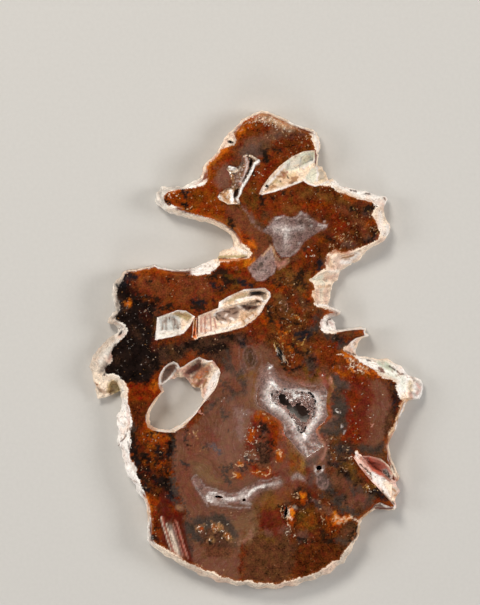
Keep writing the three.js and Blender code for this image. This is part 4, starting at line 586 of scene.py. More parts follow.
# The broken rim, the casts of dissolved crystals and the wall of the window.
BROKEN = [
    # the outer rim
    ("chalk", None, 6, 1, "85,400 160,400 160,560 105,560"),
    ("snow", None, 4, 0.8, "112,400 134,400 138,470 150,500 152,545 140,545 112,450"),
    ("ash", None, 5, 0.6, "104,272 128,268 130,348 116,374 88,370 92,345 108,330"),
    ("chalk", 2.6, 3, 0.75, "126,336 118,342 108,352 100,362 / 112,284 113,300 / 113,306 111,314"),
    ("chalk", 3, 3, 0.9, "119,378 122,392 / 108,376 118,377"),
    ("chalk", None, 2, 0.8, "116,322 128,322 129,334 120,340 114,338"),
    ("slate", 2, 2.5, 0.3, "116,286 117,296 / 106,360 101,372 / 114,346 108,355 / 119,300 118,310"),
    ("soot", 1, 1.2, 0.8, "116,284 119,288 / 117,296 120,300 / 116,303 / 118,310 121,314 / 122,331 119,335 / 116,344"
     " 113,349 / 112,357 / 107,364 108,371 104,375"),
    ("pewter", 1.3, 1.6, 0.7, "118,297 117,306 / 120,320 116,322 / 100,372 104,366 / 113,352 109,359 / 121,281"
     " 118,286 / 112,318 116,316 / 97,388 101,392 / 106,364 104,372 / 128,276 124,279"),
    ("blush", 1.6, 2, 0.5, "112,354 116,353 / 111,357 109,361 / 120,336 124,334"),
    ("khaki", None, 1.6, 0.9, "106,393 107,385 111,379.5 117,380 119.5,386 121,392 114,396"),
    ("tan", 1.6, 1.6, 0.6, "108,392 112,390 / 112,382 116,384 / 100,390 104,394 / 95,384 98,386"),
    ("cream", 1.6, 1.5, 0.9, "106,377 112,376.5 118,379 121,385 / 99,397 106,396 112,395"),
    ("snow", 2.4, 1.6, 0.9, "120,430 122,444 / 118,416 122,424 / 126,456 130,470 / 124,400 125,412"),
    ("blush", 1.2, 1.5, 0.5, "128,404 128,416 129,424"),
    ("walnut", 0.5, 0.7, 0.9, "118,446.5 120.5,441.5 124,439 126.5,434 128,428"),
    ("pewter", 0.8, 1, 0.8, "130,428 132,436 / 128,442 130,450 / 134,426 133,430"),
    ("sand", 2, 2, 0.7, "146,498 149,506 149,516 / 147,512 148,520"),
    ("ash", 1.4, 2, 0.6, "150,520 150,530 / 148,486 143,486 / 150,534 149,540 / 134,466 136,472"),
    ("snow", None, 3, 0.9, "150,262 216,258 220,276 150,274"),
    ("cream", None, 2, 1, "216,242 246,240 254,252 246,262 214,262"),
    ("khaki", 1.3, 1, 0.95, "219,257 224,256.5 232,256.5 245,256"),
    ("walnut", 0.7, 0.8, 0.8, "240,258.5 247,257 / 219,258.5 230,258.8"),
    ("flame", 1.2, 1.1, 0.9, "220,260 232,260.2 245,259.4"),
    ("snow", 1.6, 1.4, 0.9, "232,247 240,250 246,253"),
    ("chalk", None, 4, 0.9, "150,184 204,176 206,222 150,216"),
    ("ash", 1.2, 1.5, 0.8, "161,189 160,195 163,202 / 172,187.5 182,188.5 / 158,192 160,196 / 164,191 168,190"),
    ("cream", 1.6, 1.5, 0.9, "168,209 180,213 194,217 210,222 226,230"),
    ("amber", 1.3, 1.3, 0.8, "182,206 196,211.5 210,216.5 224,222.5 232,229.5 238,236 241,243"),
    ("blush", 1.2, 1.5, 0.45, "203,170 205,176 / 212,158 215,156 / 196,184 202,180"),
    ("cream", None, 3, 0.9, "222,128 240,126 240,148 222,148"),
    ("ash", 1.5, 1.2, 0.8, "229,142 233,144 / 234,138 236,142"),
    ("pewter", 0.9, 0.8, 0.9, "228,141 231,142.5 233,142"),
    ("blush", 1.6, 2, 0.5, "230,134 234,137 / 226,140 225,144 / 236,127 239,125"),
    ("cream", None, 3, 1, "256,106 324,126 324,152 312,152 306,130 262,116"),
    ("snow", 1.4, 1.3, 0.8, "314,132 316,140 / 318,142 318,150 / 290,122 304,127"),
    ("walnut", 0.5, 0.6, 0.8, "315.2,152 315,160 315.3,166"),
    ("snow", None, 4, 0.9, "328,176 392,194 394,212 372,208 352,196 330,186"),
    ("pewter", 0.8, 0.9, 0.8, "366,193 371,194 / 384,197 386,200 / 351,190 356,191"),
    ("sand", 1.6, 2, 0.6, "344,192 352,196 360,199 / 366,200 372,202 / 336,187 340,190"),
    ("cream", None, 4, 1, "372,206 394,206 394,242 374,244"),
    ("snow", 2.2, 2, 0.8, "380,212 381,224 384,234 / 388,226 388,234"),
    ("blush", 1.5, 2, 0.4, "376,216 377,226 / 383,204 384,210 / 378,242 384,240"),
    ("cream", None, 3, 1, "326,250 376,240 360,264 340,276 326,274"),
    ("blush", 3, 3, 0.45, "336,260 346,262 356,256 / 332,268 340,266 / 350,252 340,254"),
    ("sand", 1.8, 1.8, 0.8, "334,252 340,252 346,256 / 329,258 331,266"),
    ("snow", 2, 2, 0.8, "342,262 350,262 / 330,272 338,272 / 352,258 358,254"),
    ("amber", 1.4, 1.4, 0.75, "331,253 336,250.5 343,252 348,253 / 328,257 327,264 / 309,278 313,275 320,274"),
    ("tan", 0.8, 0.9, 0.7, "342,258 348,257 354,255"),
    ("cream", None, 3, 1, "306,272 342,272 334,308 312,308"),
    ("celadon", 2, 2, 0.7, "314,279 322,277 / 318,283 326,281 / 322,290 321,298"),
    ("blush", 2.4, 2.5, 0.45, "326,278 332,278 / 316,292 318,302 / 326,290 326,302 / 334,276 338,276"),
    ("sand", 1.2, 1.3, 0.8, "314,290 315,300 / 311,294 312,298 / 318,287 330,286"),
    ("lilac", None, 1.6, 0.8, "326,309 334,309 340,312 336,318 328,318"),
    ("snow", 0.9, 0.9, 1, "316,305 326,305.5 334,309 340,311.5"),
    ("snow", None, 2, 0.9, "318,318 334,316 340,332 320,332"),
    ("walnut", 0.6, 0.7, 0.9, "327.5,325 327,322 328.5,320 330.5,319"),
    ("blush", 1.2, 1.4, 0.5, "330,322 333,325 / 322,320 321,326"),
    ("snow", 0.9, 0.9, 1, "336,330.5 350,329 365,328.4 / 364,330 364.5,334 / 364.5,335.8 369,335.5"),
    ("amber", 1.4, 1.2, 0.9, "362,331 362,334"),
    ("cream", None, 2, 1, "343,338 364,336 362,358 343,354"),
    ("blush", 2, 2, 0.55, "348,344 352,348 / 354,342 357,340 / 347,350 352,352"),
    ("snow", 1.6, 1.6, 0.8, "352,346 355,350 / 357,354 361,358 / 352,342 356,339"),
    ("walnut", 0.9, 1, 0.8, "349,353 356,355 / 345,351 349,353"),
    ("snow", None, 3, 1, "356,356 428,372 428,402 398,402 396,384 372,376 358,366"),
    ("sage", None, 1.4, 1, "375,361 386,361 392,366 398,371.5 388,370.5 380,366"),
    ("steel", None, 1.2, 0.4, "378,360.5 384,361.5 388,366 382,365"),
    ("celadon", 3, 2.5, 0.6, "380,370 388,374 396,376 / 402,378 404,388"),
    ("chalk", 2, 2, 0.9, "370,362 376,366 384,372 / 364,359 370,361"),
    ("pewter", 0.6, 0.8, 0.7, "389,366 394,369 398,372 / 367,360 371,361 / 400,374 404,374"),
    ("rosewood", 1, 1.1, 0.8, "379,368 383,370 / 381,371 384,372"),
    ("cream", 3, 2.5, 0.9, "411,384 410,392 / 404,396 408,398"),
    ("khaki", 1.8, 2, 0.5, "410,382 411,392"),
    ("blush", 2, 1.6, 0.8, "418,384 420,388 / 419,391 417,394 / 411,394 412,398"),
    ("ash", 1.4, 1.3, 0.8, "413,378 416,381 / 413,393 416,396 / 419,382 421,385 / 417,389 419,390"),
    ("sand", 2, 2, 0.6, "392,380 397,382 / 384,376 390,379 / 380,375 376,371"),
    ("sand", None, 2, 0.9, "400,398 412,398 404,420 396,432 388,444 386,440"),
    ("blush", 1.2, 1.4, 0.8, "403,404 401,412 / 398,420 396,428 / 393,434 391,438"),
    ("snow", 0.9, 1, 0.9, "403,409 400,416 / 397,423 396,428 / 405,402 404,407"),
    ("tan", 1, 1.2, 0.7, "404,402 402,406 / 399,418 397,421"),
    ("tan", None, 2, 0.8, "384,438 392,438 394,462 402,476 398,486 388,470"),
    ("amber", 1.8, 1.6, 0.85, "387,438 387.5,448 389,458 391,464 / 394,478 397,481"),
    ("cream", 1.4, 1.3, 0.9, "389,446 390,454 / 393,462 396,470 399,476 / 391,458 394,464"),
    ("loam", 0.8, 0.9, 0.6, "388,472 391,479 / 392,466 394,472"),
    ("blush", 1.2, 1.3, 0.6, "394,483 397,488 / 396,474 397,479"),
    ("cream", None, 2, 0.9, "358,512 400,508 400,514 358,524"),
    ("sand", 1, 1.2, 0.9, "371,511 366,515 361,520 / 359,526 358.5,534"),
    ("cream", None, 3, 0.8, "150,545 360,538 356,600 150,600"),
    ("ash", 4, 4, 0.5, "180,566 200,575 / 240,586 262,588 / 300,582 318,576 / 340,562 348,552"),
    ("blush", 4, 4, 0.4, "210,580 226,584 / 280,587 290,585 / 326,572 334,566"),
    # the pits, painted dark inside as painted shade deep in them
    ("soot", None, 1.5, 1, "272,340 290,340 290,368 272,368"),
    ("cream", 0.7, 0.8, 0.9, "276,347 279,353 / 283,356 284,361"),
    ("dusk", None, 1, 1, "330,402 348,402 348,418 330,418"),
    ("snow", 0.7, 0.8, 1, "337,407 336,410 338,412.5 / 341,409 343,411 341,413"),
    ("soot", None, 1, 1, "280,503 288,503 287,519 280,519"),
    ("flame", None, 1, 1, "288,503 297,503 297,519 287.5,519"),
    ("cream", 0.8, 0.8, 1, "282,507 283,512 282,516 / 288,508 287,513"),
    ("smoke", None, 1, 1, "312,460 326,460 326,476 312,476"),
    ("umber", None, 1, 1, "210,492 228,492 228,501 210,501"),
    ("umber", None, 1, 1, "239,496 249,496 249,505 239,505"),
    # crown blade and the facet beside it
    ("cream", None, 1, 1, "257,195 262,186 270,175 280,164.5 292,155.5 304,150.5 315,149 316,166 305,182 290,187.5"
     " 275,193 262,196.5"),
    ("celadon", None, 1.2, 1, "285,162 294,156.5 304,152.5 314,151 314.5,160 308,164 300,168 290,171 283,168"),
    ("chalk", None, 2, 0.6, "286,164 300,158 304,166 292,170"),
    ("steel", 0.7, 0.9, 0.55, "301,158 300,166 / 309,154 312,158 / 306,163 313,159 / 290,163 287,168"),
    ("khaki", 2.4, 2.4, 0.75, "282,172 288,176 294,174 / 276,180 282,184 / 270,184 274,182"),
    ("sand", 3, 3, 0.7, "284,180 292,180 / 296,176 290,184 / 268,190 274,186 / 276,176 282,170"),
    ("tan", 1, 1.2, 0.7, "281,171 286,174 284,178 / 292,178 298,177 / 289,183 296,180 / 276,186 270,188 / 278,176"
     " 283,177"),
    ("rose", 0.9, 1, 0.6, "283,174 284,176 / 287,172"),
    ("walnut", 0.7, 0.8, 0.6, "287,176 289,178 / 280,180 281,182 / 291,183 294,182 / 266,190 268,188 / 273,185"),
    ("snow", 1, 1, 0.9, "261,191 266,187 272,180 280,171 286,165 / 262,194.5 274,191.5 288,186 300,181.5 / 303,168"
     " 312,162 315,160"),
    ("cream", None, 1, 1, "302,180 306,172 313,166 322,166 330,172 334,180 324,186.5 315,188.5 306,186"),
    ("celadon", None, 1.4, 0.8, "306,176 312,168 317,168 318,178 313,184 306,180"),
    ("khaki", None, 1.4, 0.5, "317,169 324,169 327,176 324,182 318,182"),
    ("ash", None, 1.6, 0.7, "318,170 324,171 326,177 320,180"),
    ("snow", 0.9, 0.9, 1, "304,180 308,184 315,186.2 322,184.6 329,181 / 317,167 318,174 317,181"),
    ("sand", 1.2, 1.2, 0.8, "303,182 306,186 / 304,186 305,189"),
    # the small blade at mid height
    ("chalk", None, 1, 1, "153,341 157,317 164,315 171,312 178,309 187,310 196,316 190,327 184,334 172,338"),
    ("steel", None, 1.4, 0.9, "160,330 159,318.5 166,317 172,315 180,318 182,330 174,332 162,333"),
    ("ash", 0.9, 1, 0.8, "166,318 166,330 / 172,317 174,331 / 176,320 178,328 / 163,322 162,330"),
    ("pewter", 0.7, 0.9, 0.6, "174,319 175,325 / 169,317 170,320 / 177,327 179,330"),
    ("snow", 1, 1, 0.9, "157.5,319 158.5,328 157,337 / 161,332 170,331.5 180,330 / 155,338 168,336.5 176,334.5"
     " 183,331 189,324"),
    ("khaki", None, 1, 0.95, "170,313.5 180,310.8 190,312.3 193,316 188,322 183,320 176,315.5"),
    ("tan", 1.4, 1.3, 0.6, "180,313 188,316 / 174,313.5 180,312"),
    ("cream", None, 1, 0.95, "181,317 187,322 194,316 190,325 184,331 181,330"),
    ("snow", 0.8, 0.8, 1, "171,312.5 178,310 186,310.4 194,316"),
    # the slot: its deep walls are painted bright orange, a painted glow of light shining through the stone that also
    # lifts the shade in them
    ("slot_glow_painted", None, 0.8, 1, "191.5,338 193.2,318 197,317.5 197,339"),
    ("gold", 1, 1, 0.4, "194.5,320 194.6,328"),
    ("flame", 0.8, 1, 0.8, "194.5,331 194.5,336"),
    ("cream", 0.5, 0.7, 0.8, "192.2,337 193.4,319 / 197,318 197,337.5"),
    # the large blade
    ("cream", None, 1, 1, "197.4,339 197.4,315.5 208,311.5 219,307 240,301 258,296.8 268,300.6 263,311.4 255,319.6"
     " 243,327.8 230,331.8 212,335.6"),
    ("blush", None, 2, 0.4, "199,318 208,314 210,332 200,336"),
    ("blush", 0.8, 1, 0.55, "205,315 205,332 / 210,313.5 211,330 / 201,318 201,332 / 214,318 216,328"),
    ("clay", None, 2, 0.75, "214,312 224,308.5 236,306 241,308 238,318 228,323 218,322"),
    ("walnut", 0.8, 1, 0.7, "216,313 220,316 / 224,311 230,312 / 233,314 237,312 / 222,318 226,320 / 218,320 216,317"
     " / 230,309 236,308"),
    ("snow", 0.9, 0.9, 0.85, "218,311 223,309.5 / 225,316 227,314 / 230,318 234,320 / 214,315 216,312 / 236,304"
     " 244,310 / 220,322 226,323"),
    # the blade's deepest corner: brown stone, painted darker as shade cast by the ledge above
    ("dusk", None, 1.8, 1, "239,302 252,299.6 262,299 262,305 255,310.5 246,311.5 242,308"),
    ("umber", 2, 2, 0.8, "246,305 256,302 / 250,308 254,306"),
    ("olive", 1, 1, 0.7, "256,300 261,303"),
    ("sand", None, 1.4, 0.8, "241,311 248,313 256,311 264,303 262,311 254,319 244,326 238,324"),
    ("snow", 1.4, 1.2, 0.9, "202,334 214,332 228,328 240,323 / 258,312 263,305 / 246,321 254,315 / 204,326 212,329"),
    ("tan", 0.7, 0.9, 0.7, "246,316 250,320 / 252,313 256,316 / 242,319 245,323"),
    # the ledge above it
    ("cream", None, 1, 1, "217.4,310 218,301.6 228,295.6 236,292 244,288.4 256,287.8 266,287.4 271,291.4 271.4,297.4"
     " 266.6,304.6 250,305.4 236,304 226,306"),
    ("snow", 1.4, 1.2, 0.9, "220,305 223,300 230,296.5 / 219,308 221,304"),
    ("khaki", None, 1.6, 0.75, "227,301 236,295.5 246,291.5 249,294 246,298 236,301 228,304"),
    ("sand", 1.4, 1.4, 0.8, "226,303 232,302 / 234,297 242,293.6"),
    # the recess under the ledge's upper wall: brown stone, painted darker as shade under that wall
    ("dusk", None, 1.3, 1, "249,291.6 256,290.6 262,291.2 263,296 256,296.5 250,296.8"),
    ("soot", 1, 1.2, 0.8, "252,293 260,293"),
    ("olive", None, 1.2, 0.7, "262,292.5 267,293 267,299 263,301 262,297"),
    ("snow", 0.8, 0.8, 1, "244,289.6 256,288.8 265,288.6 269.5,292.5 269.6,297 266,302 / 236,300.8 246,297.8 254,297"
     " 262,299 265,303"),
    # the window's wall
    ("cream", None, 3, 1, "140,352 226,352 226,440 140,440"),
    ("amber", 3, 2.5, 0.85, "156,372 158,382 159,390 / 147,426 150,430 153,431"),
    ("sand", 1.6, 1.6, 0.8, "146,408 146,420 148,427 / 152,402 157,397 / 153,431 164,433"),
    ("plume", None, 1.1, 1, "160.5,384 161,376 164,369 169,364.8 174,364 178,366 174,371 170,377 165,381.5 161,385.5"),
    ("slate", 1.8, 2, 0.6, "164,375 168,371 / 163,380 166,377"),
    ("rosewood", 1.4, 1.6, 0.6, "168,368 173,367"),
    ("snow", 0.8, 0.8, 1, "160,384 159.8,377 163,369.5 168,364.6 173,362.4 177.5,364.6 / 178.6,366 174.5,372"
     " 169.5,378.4 162,385"),
    ("blush", 1.2, 1.3, 0.7, "176,372 180,370 / 171,380 175,376"),
    ("oxblood", None, 1.4, 1, "183,373 190,367 199,362 204,365 198,371 190,375 185,378"),
    ("russet", 2, 2, 0.8, "190,370 198,366 / 198,362 202,360"),
    ("blush", 1.8, 2, 0.8, "184,375 188,377 190,382 / 182,371 188,367"),
    ("walnut", None, 1.6, 0.8, "199,364 207,363 211,366 205,371 199,377 193,381 191,378 197,371"),
    ("sand", 1.3, 1, 1, "212,361 206,367 199,374 193,380"),
    ("amber", 2.6, 2, 0.7, "195,378 203,370 209,368 / 196,384 204,380 / 202,376 206,372"),
    ("flame", 0.8, 0.9, 0.6, "197,377 199,379 202,376 / 205,372 208,371"),
    ("rose", 1.4, 1.3, 0.7, "193,383 198,385 202,382 / 213,362 216,366 / 204,384 206,380"),
    ("tan", 1, 1, 0.8, "198,379 200,382 / 204,377 208,373 / 206,380 203,387 / 192,384 200,387.5"),
    ("snow", None, 1.2, 1, "219,369.5 218,379 215.5,386 211,394 205,401 203,398 206,390 208.5,383 212,376 216,371"),
    ("blush", None, 1.6, 0.7, "202,389 207,386 206,393 203,398 202,395"),
    ("chalk", 1.8, 1.4, 1, "221,367 223,371 220,374"),
    ("snow", 0.8, 0.8, 1, "180,367.4 186,364.4 193,360.4 199,357.6 203,359 / 204,358.6 208,361 212,360.4"),
    ("sand", 0.8, 1, 0.8, "210,397 206,402 202,407 / 190,420 184,425"),
    ("snow", 0.8, 0.8, 1, "208,399 202,406 196,412.6 189,419.8 183,424 176,428.5 168,431.4 158,430.8"),
    # the bright plane at the right foot, its arms and the red recess
    ("petal", None, 1, 1, "352,458 357,452 362,455 374,470 386,470 398,484 404,494 402,508 392,508 382,492 370,482"
     " 358,466"),
    ("snow", None, 1.2, 1, "366,471 376,472.5 384,477 392,485 396,492 394,500 390,500 384,491 375,483 368,476"),
    ("cream", None, 1.4, 0.9, "384,480 392,484 398,490 396,500 393,506 388,500 386,492 382,486"),
    ("snow", 1.4, 1.2, 1, "356,453.5 358,458 / 372,476 384,488 390,497 / 378,474 386,480"),
    ("blush", 1, 1, 0.8, "361,458 368,466 / 363,470 371,479 / 384,476 390,481"),
    ("walnut", 0.7, 0.8, 0.9, "360,464 365,468.6 371,474"),
    ("ash", None, 1.4, 0.8, "392,487 398,487 400,493 397,500 393,496"),
    ("tan", 0.9, 1, 0.7, "393,489 396,492 / 395,496 397,495"),
    # the red recess and the small grey one beside it are painted lighter than their stone: painted light that lifts the
    # shade falling in them
    ("coral", None, 1.1, 1, "362.5,456.6 370,456.6 380,459.6 388,466 392,473 389,478 380,476 372,470.6"),
    ("blush", None, 1.4, 0.6, "372,459 380,460 387,466 390,470 382,469 375,465"),
    ("oxblood", 1.4, 1.5, 0.8, "368,462 373,466 378,470 / 364,458 368,460"),
    ("blush", 0.9, 0.9, 0.9, "363,456 370,456 379,458.4 / 366,459 369,461"),
    ("steel", None, 1.2, 0.95, "382,470 387,469 391,474 392,480 388,478 383,474"),
    ("slate", 0.9, 1, 0.8, "384,472 387,475 / 389,477"),
    ("steel", 0.6, 0.7, 0.8, "385,470 387,471 / 388,473 389,475"),
    ("cream", 1.2, 1, 0.9, "380,458.6 386,463 390,467 393,472 396,476"),
    ("walnut", 1, 1, 0.8, "382,491 386,496 390,502"),
    ("oxblood", 1.6, 1.4, 0.9, "375,505 380,505.4 384,506"),
    ("russet", 1.2, 1.2, 0.9, "376,508.4 386,509 392,508.6"),
    ("snow", 1.1, 1, 1, "379,501.6 386,502.6 392,506 395,507 / 382,504 388,507"),
    ("pewter", 1, 1.2, 0.7, "380,503.6 385,504.6 / 392,502 394,504"),
]

# The druse: sawn flush outside, and open crystals falling to its slot.
DRUSE_MARKS = [
    ("smoke", 4, 4, 0.9, "260,380 258,392 258,402 264,409 272,415 280,420 / 286,434 292,443 300,454 307,458"
     " / 322,446 318,440 317,430 324,422 / 328,386 327,398 328,410 / 300,384 310,387 322,386 / 268,362 272,368 278,378"
     " 290,383"),
    ("lilac", 4, 5, 0.6, "272,378 272,384 / 290,386 296,389 / 310,446 302,446 296,440 / 322,394 322,408"),
    ("plume", 2.4, 2.4, 0.7, "298,384 310,387 322,386 / 290,381 284,378 276,370 / 266,362 262,368 259,376 257,386"
     " 256,396 258,404"),
    ("milk", 2.9, 3, 0.75, "271,381 267,388 266,396 269,404 276,409 284,414 290,420 295,428 301,436 / 305,439"
     " 309,430 315,421 320,412 321,403 317,396"),
    ("snow", 1.3, 1.8, 0.6, "272,383 269,389 268,396 271,403 277,407 283,411 / 305,436 309,428 314,421 318,414"
     " 319,408 317,400 313,394 / 292,420 296,427 / 274,385 277,388"),
    ("milk", 1.8, 1.8, 0.7, "300,442 303,448 / 296,437 301,438"),
    ("mauve", 1.2, 2.4, 0.8, "258,386 256.5,396 258,405 264,410 / 276,370 284,378 294,382 304,386 314,387 322,385"),
    ("quartz", None, 1.6, 1, "272,390 277,389 279,394 279,400 275,403 271,401 269.5,396"),
    ("smoke", 2.2, 2, 0.8, "273,393 275,399 / 277,396 278,400"),
    ("lilac", None, 1.6, 0.7, "281,391 290,391 296,399 302,401 309,409 316,400 313,396 302,392 294,400 288,402"
     " 284,394"),
    ("smoke", None, 1.8, 1, "306,404 312,400 317,399 317,408 313,411 309,409"),
    ("smoke", None, 1.6, 0.9, "310,411 315,410 316,416 311,420"),
    ("pewter", None, 1.6, 0.55, "294,417 300,420 305,424 306,430 304,436 299,433 296,426"),
    ("smoke", 1.6, 1.6, 0.8, "284,396 288,400 / 292,404 296,401 / 296,420 301,424 304,432 / 298,388 302,390"
     " / 290,386 296,386 / 293,416 289,412"),
    ("snow", 1.3, 1.2, 1, "294,393 294.5,398 / 297.5,396 299,395 / 291,400 / 271,406 274,404 / 276,386 272,382"
     " / 304,434 305,438"),
    ("milk", 0.7, 0.8, 0.9, "281,394 283,393 / 288,396 / 303,395 305,398 / 308,393 / 311,397 309,400 / 314,394"
     " / 300,398 / 306,401 / 274,393 / 276,400 / 299,426 301,430 / 301,421 / 312,414 313,417 / 286,398 / 292,395"
     " / 302,404"),
    ("pewter", 0.8, 1, 0.75, "288,430 291,433 / 294,430 / 289,438 292,440 / 284,432 286,436 / 296,442 / 298,446"
     " / 292,425 / 286,426 / 264,404 267,408 / 275,412 / 262,396 265,396 / 262,388 266,388 / 263,382 267,384 / 322,392"
     " 326,393 / 321,400 326,401 / 322,407 327,408 / 306,444 309,448 / 313,441 / 300,450 / 318,446"),
    ("milk", 0.7, 0.8, 0.8, "286,428 / 291,428 293,431 / 290,436 / 296,434 / 299,440 302,444 / 305,446 306,452"
     " / 309,442 313,446 / 314,444 320,447 / 310,451 314,452 / 283,424 286,428 / 262,400 266,400 / 264,392 267,392"
     " / 321,396 326,396 / 320,404 325,404 / 319,418 323,414 / 269,368 272,366 / 270,373 / 308,456 306,451"),
    ("snow", 1, 0.9, 1, "269.5,367.6 271.5,366.6"),
    # the lip where the sawn quartz turns down into the open crystals: milky quartz, painted brighter as painted light
    # over the shade on the steep slope below it
    ("milk", 1.3, 1.6, 0.9, "283,390 290,391 298,390 306,391 312,394 316,399 317,406 / 279,389 274,388 270,391"
     " 269,398 271,403"),
]

# The crown's crust.
CRUST_MARKS = [
    ("taupe", None, 2, 0.8, "230,172 240,168 246,160 252,156 252,172 244,184 240,190 232,190 228,180"),
    ("sand", None, 2, 0.9, "217,197 221,191 228,188 234,189 233,204 226,204 219,201"),
    ("tan", 2, 2, 0.9, "231,174 231,184 / 222,193 224,198"),
    ("lilac", 2, 2, 0.7, "236,176 238,184 / 242,160 240,170"),
    ("blush", 1.7, 1.3, 0.9, "245.5,157 247.5,162 246.5,169 244,176 240.5,184"),
    ("milk", 0.9, 0.9, 0.9, "245.5,157 247.5,162 246.5,169 244.5,175 241,182"),
    ("dusk", 1.5, 1.1, 1, "249.5,157 251.2,162 250.2,168 247,174.5 243,181"),
    ("walnut", None, 1, 1, "233.5,190 239,188 240,192 237,198.4 234,200 232.6,196"),
    ("soot", 1.2, 1.2, 0.9, "237,190 235,197 / 251,160 250,166"),
    ("snow", None, 1, 1, "227,167 230,165 236,168 235,170.6 230,170"),
    ("cream", 0.9, 0.9, 1, "226.6,169 229,173 234,172.6 238,170 241,166 / 243.5,156 247,154.8 252,156 256,158.6"),
    ("pewter", 1, 1, 0.8, "238,166 238.6,169 / 232,173 236,174 / 243,162 241,166"),
    ("snow", 1.4, 1, 1, "258.6,160.6 254.6,164 252.4,169.6 249.2,175.6 246,181 242.4,187 240.6,190.6 240.4,194"
     " 237.4,199 241,204"),
    ("snow", 1.7, 1.1, 1, "231,191 231.6,197 232,202 / 219,197 221,199"),
    ("cream", 0.9, 0.9, 1, "219,199 224,202 228,204.2 235,203.4 241,204.4"),
    ("milk", 0.6, 0.7, 0.9, "234,178 / 236,181 / 238,177 / 235,185 / 239,181 / 233,187 / 237,172 / 240,174 / 242,170"
     " / 226,190 224,192 / 228,194 227,198 / 222,196 / 224,200 / 229,190 / 241,178 / 236,187 / 233,181"),
    ("walnut", 0.6, 0.7, 0.7, "235,180 / 238,179 / 234,184 / 240,172 / 226,194 / 229,199 / 224,196 / 237,184"
     " / 229,178"),
]


def shade(code):
    """An sRGB hex colour as linear light."""
    parts = [int(code[i:i + 2], 16) / 255 for i in (1, 3, 5)]
    return [c / 12.92 if c <= 0.04045 else ((c + 0.055) / 1.055) ** 2.4 for c in parts]


def path_points(text):
    return np.array([[float(n) for n in point.split(",")] for point in text.split()])


def distance_to_path(spots, path, closed=False):
    """The distance from each spot to a path of straight runs."""
    ends = np.roll(path, -1, axis=0) if closed else path[1:]
    starts = path if closed else path[:-1]
    if len(path) == 1:
        return np.hypot(*(spots - path[0]).T)
    nearest = np.full(len(spots), np.inf)
    for start, end in zip(starts, ends):
        run = end - start
        along = np.clip((spots - start) @ run / max(run @ run, 1e-9), 0, 1)
        nearest = np.minimum(nearest, np.hypot(*(spots - start - along[:, None] * run).T))
    return nearest


def is_inside(spots, outline):
    inside = np.zeros(len(spots), bool)
    x, y = spots.T
    for (ax, ay), (bx, by) in zip(outline, np.roll(outline, -1, axis=0)):
        if ay != by:
            crossing = (ay > y) != (by > y)
            inside ^= crossing & (x < (bx - ax) * (y - ay) / (by - ay) + ax)
    return inside


def depth_in(spots, outline):
    """How deep each spot lies inside an outline, and below zero how far outside it."""
    return distance_to_path(spots, outline, True) * np.where(is_inside(spots, outline), 1, -1)


def near_to(spots, path, margin):
    """The numbers of the spots inside a path's box, widened by a margin."""
    return ((spots > path.min(0) - margin) & (spots < path.max(0) + margin)).all(1).nonzero()[0]


def paint_of(mineral):
    """A mineral's colour as linear light, with its mottling."""
    code, mottled = MINERALS[mineral]
    return np.array(shade(code) + [mottled])


def lay(layer, spots, marks, grit, blur=1.0):
    """Lays rows of marks over a layer of colour and mottling, one row of four numbers a spot. Grit breaks up
    their edges."""
    for mineral, reach, soft, share, paths in marks:
        colour = paint_of(mineral)
        for text in paths.split("/"):
            path = path_points(text)
            near = near_to(spots, path, soft * 2 + (reach or 0))
            if not len(near):
                continue
            close = spots[near]
            depth = depth_in(close, path) if reach is None else reach - distance_to_path(close, path)
            cover = np.clip((depth / (soft * blur) + grit[near]) * 0.5 + 0.5, 0, 1)
            cover = (cover * cover * (3 - 2 * cover) * share)[:, None]
            layer[near] += (colour - layer[near]) * cover


def keep_layer(mesh, name, layer):
    """Stores colour with mottling as its alpha, for the materials to read."""
    paint = mesh.color_attributes.new(name, "FLOAT_COLOR", "POINT")
    paint.data.foreach_set("color", layer.astype(np.float32).ravel())


def keep_crisp(mesh, name, spots, strokes):
    """Stores small hard-edged strokes: their colour, and in alpha how deep a spot lies in them, 0.5 at an edge."""
    layer = np.zeros((len(spots), 4))
    for mineral, reach, path, bright in strokes:
        near = near_to(spots, path, reach + EDGE_SPAN / 2)
        depth = 0.5 + (reach - distance_to_path(spots[near], path)) / EDGE_SPAN
        deeper = depth > layer[near, 3]
        layer[near[deeper], :3] = paint_of(mineral)[:3] * bright
        layer[near[deeper], 3] = depth[deeper]
    keep_layer(mesh, name, layer)


def drawn(rows):
    """The strokes of a table's thin veins."""
    return [(mineral, reach, path_points(text), 1) for mineral, reach, *_, paths in rows for text in paths.split("/")]


def strewn(rows, seed):
    """Short bent strokes strewn inside each outline, most of them dim because they lie a little below the polish."""
    rng = np.random.default_rng(seed)
    strokes = []
    for mineral, reach, count, outline in rows:
        border = path_points(outline)
        places = rng.uniform(border.min(0), border.max(0), (count * 6, 2))
        for place in places[is_inside(places, border)][:count]:
            heading = rng.uniform(0, math.tau, 2)
            steps = np.stack([np.cos(heading), np.sin(heading)], 1) * rng.exponential(0.6, (2, 1))
            strokes.append((mineral, reach * rng.uniform(0.45, 1), place + np.cumsum(steps, 0), rng.uniform(0.3, 1)))
    return strokes


def grit_of(spots, amount, seed):
    """A grain of about two pixels for each spot."""
    soft = np.array([noise.noise((x / 2.1, y / 2.1, seed)) for x, y in spots])
    return (soft * 1.6 + np.random.default_rng(seed).normal(size=len(spots)) * 0.35) * amount


def wander(spots, *swells):
    """The same spots moved along crossed waves, so that edges drawn there turn ragged. Each swell is how far its
    waves move a spot, how long they are, both in pixels, and a seed."""
    for amount, size, seed in swells:
        rng = np.random.default_rng(seed)
        moved = spots.astype(float)
        for _ in range(10):
            heading = rng.uniform(0, math.tau)
            pace = math.tau / size * rng.uniform(0.35, 1.3)
            across = np.array([math.cos(heading), math.sin(heading)]) * pace
            wave = np.sin(spots @ across + rng.uniform(0, math.tau))
            moved += wave[:, None] * rng.normal(size=2) * (amount / 4.5)
        spots = moved
    return spots


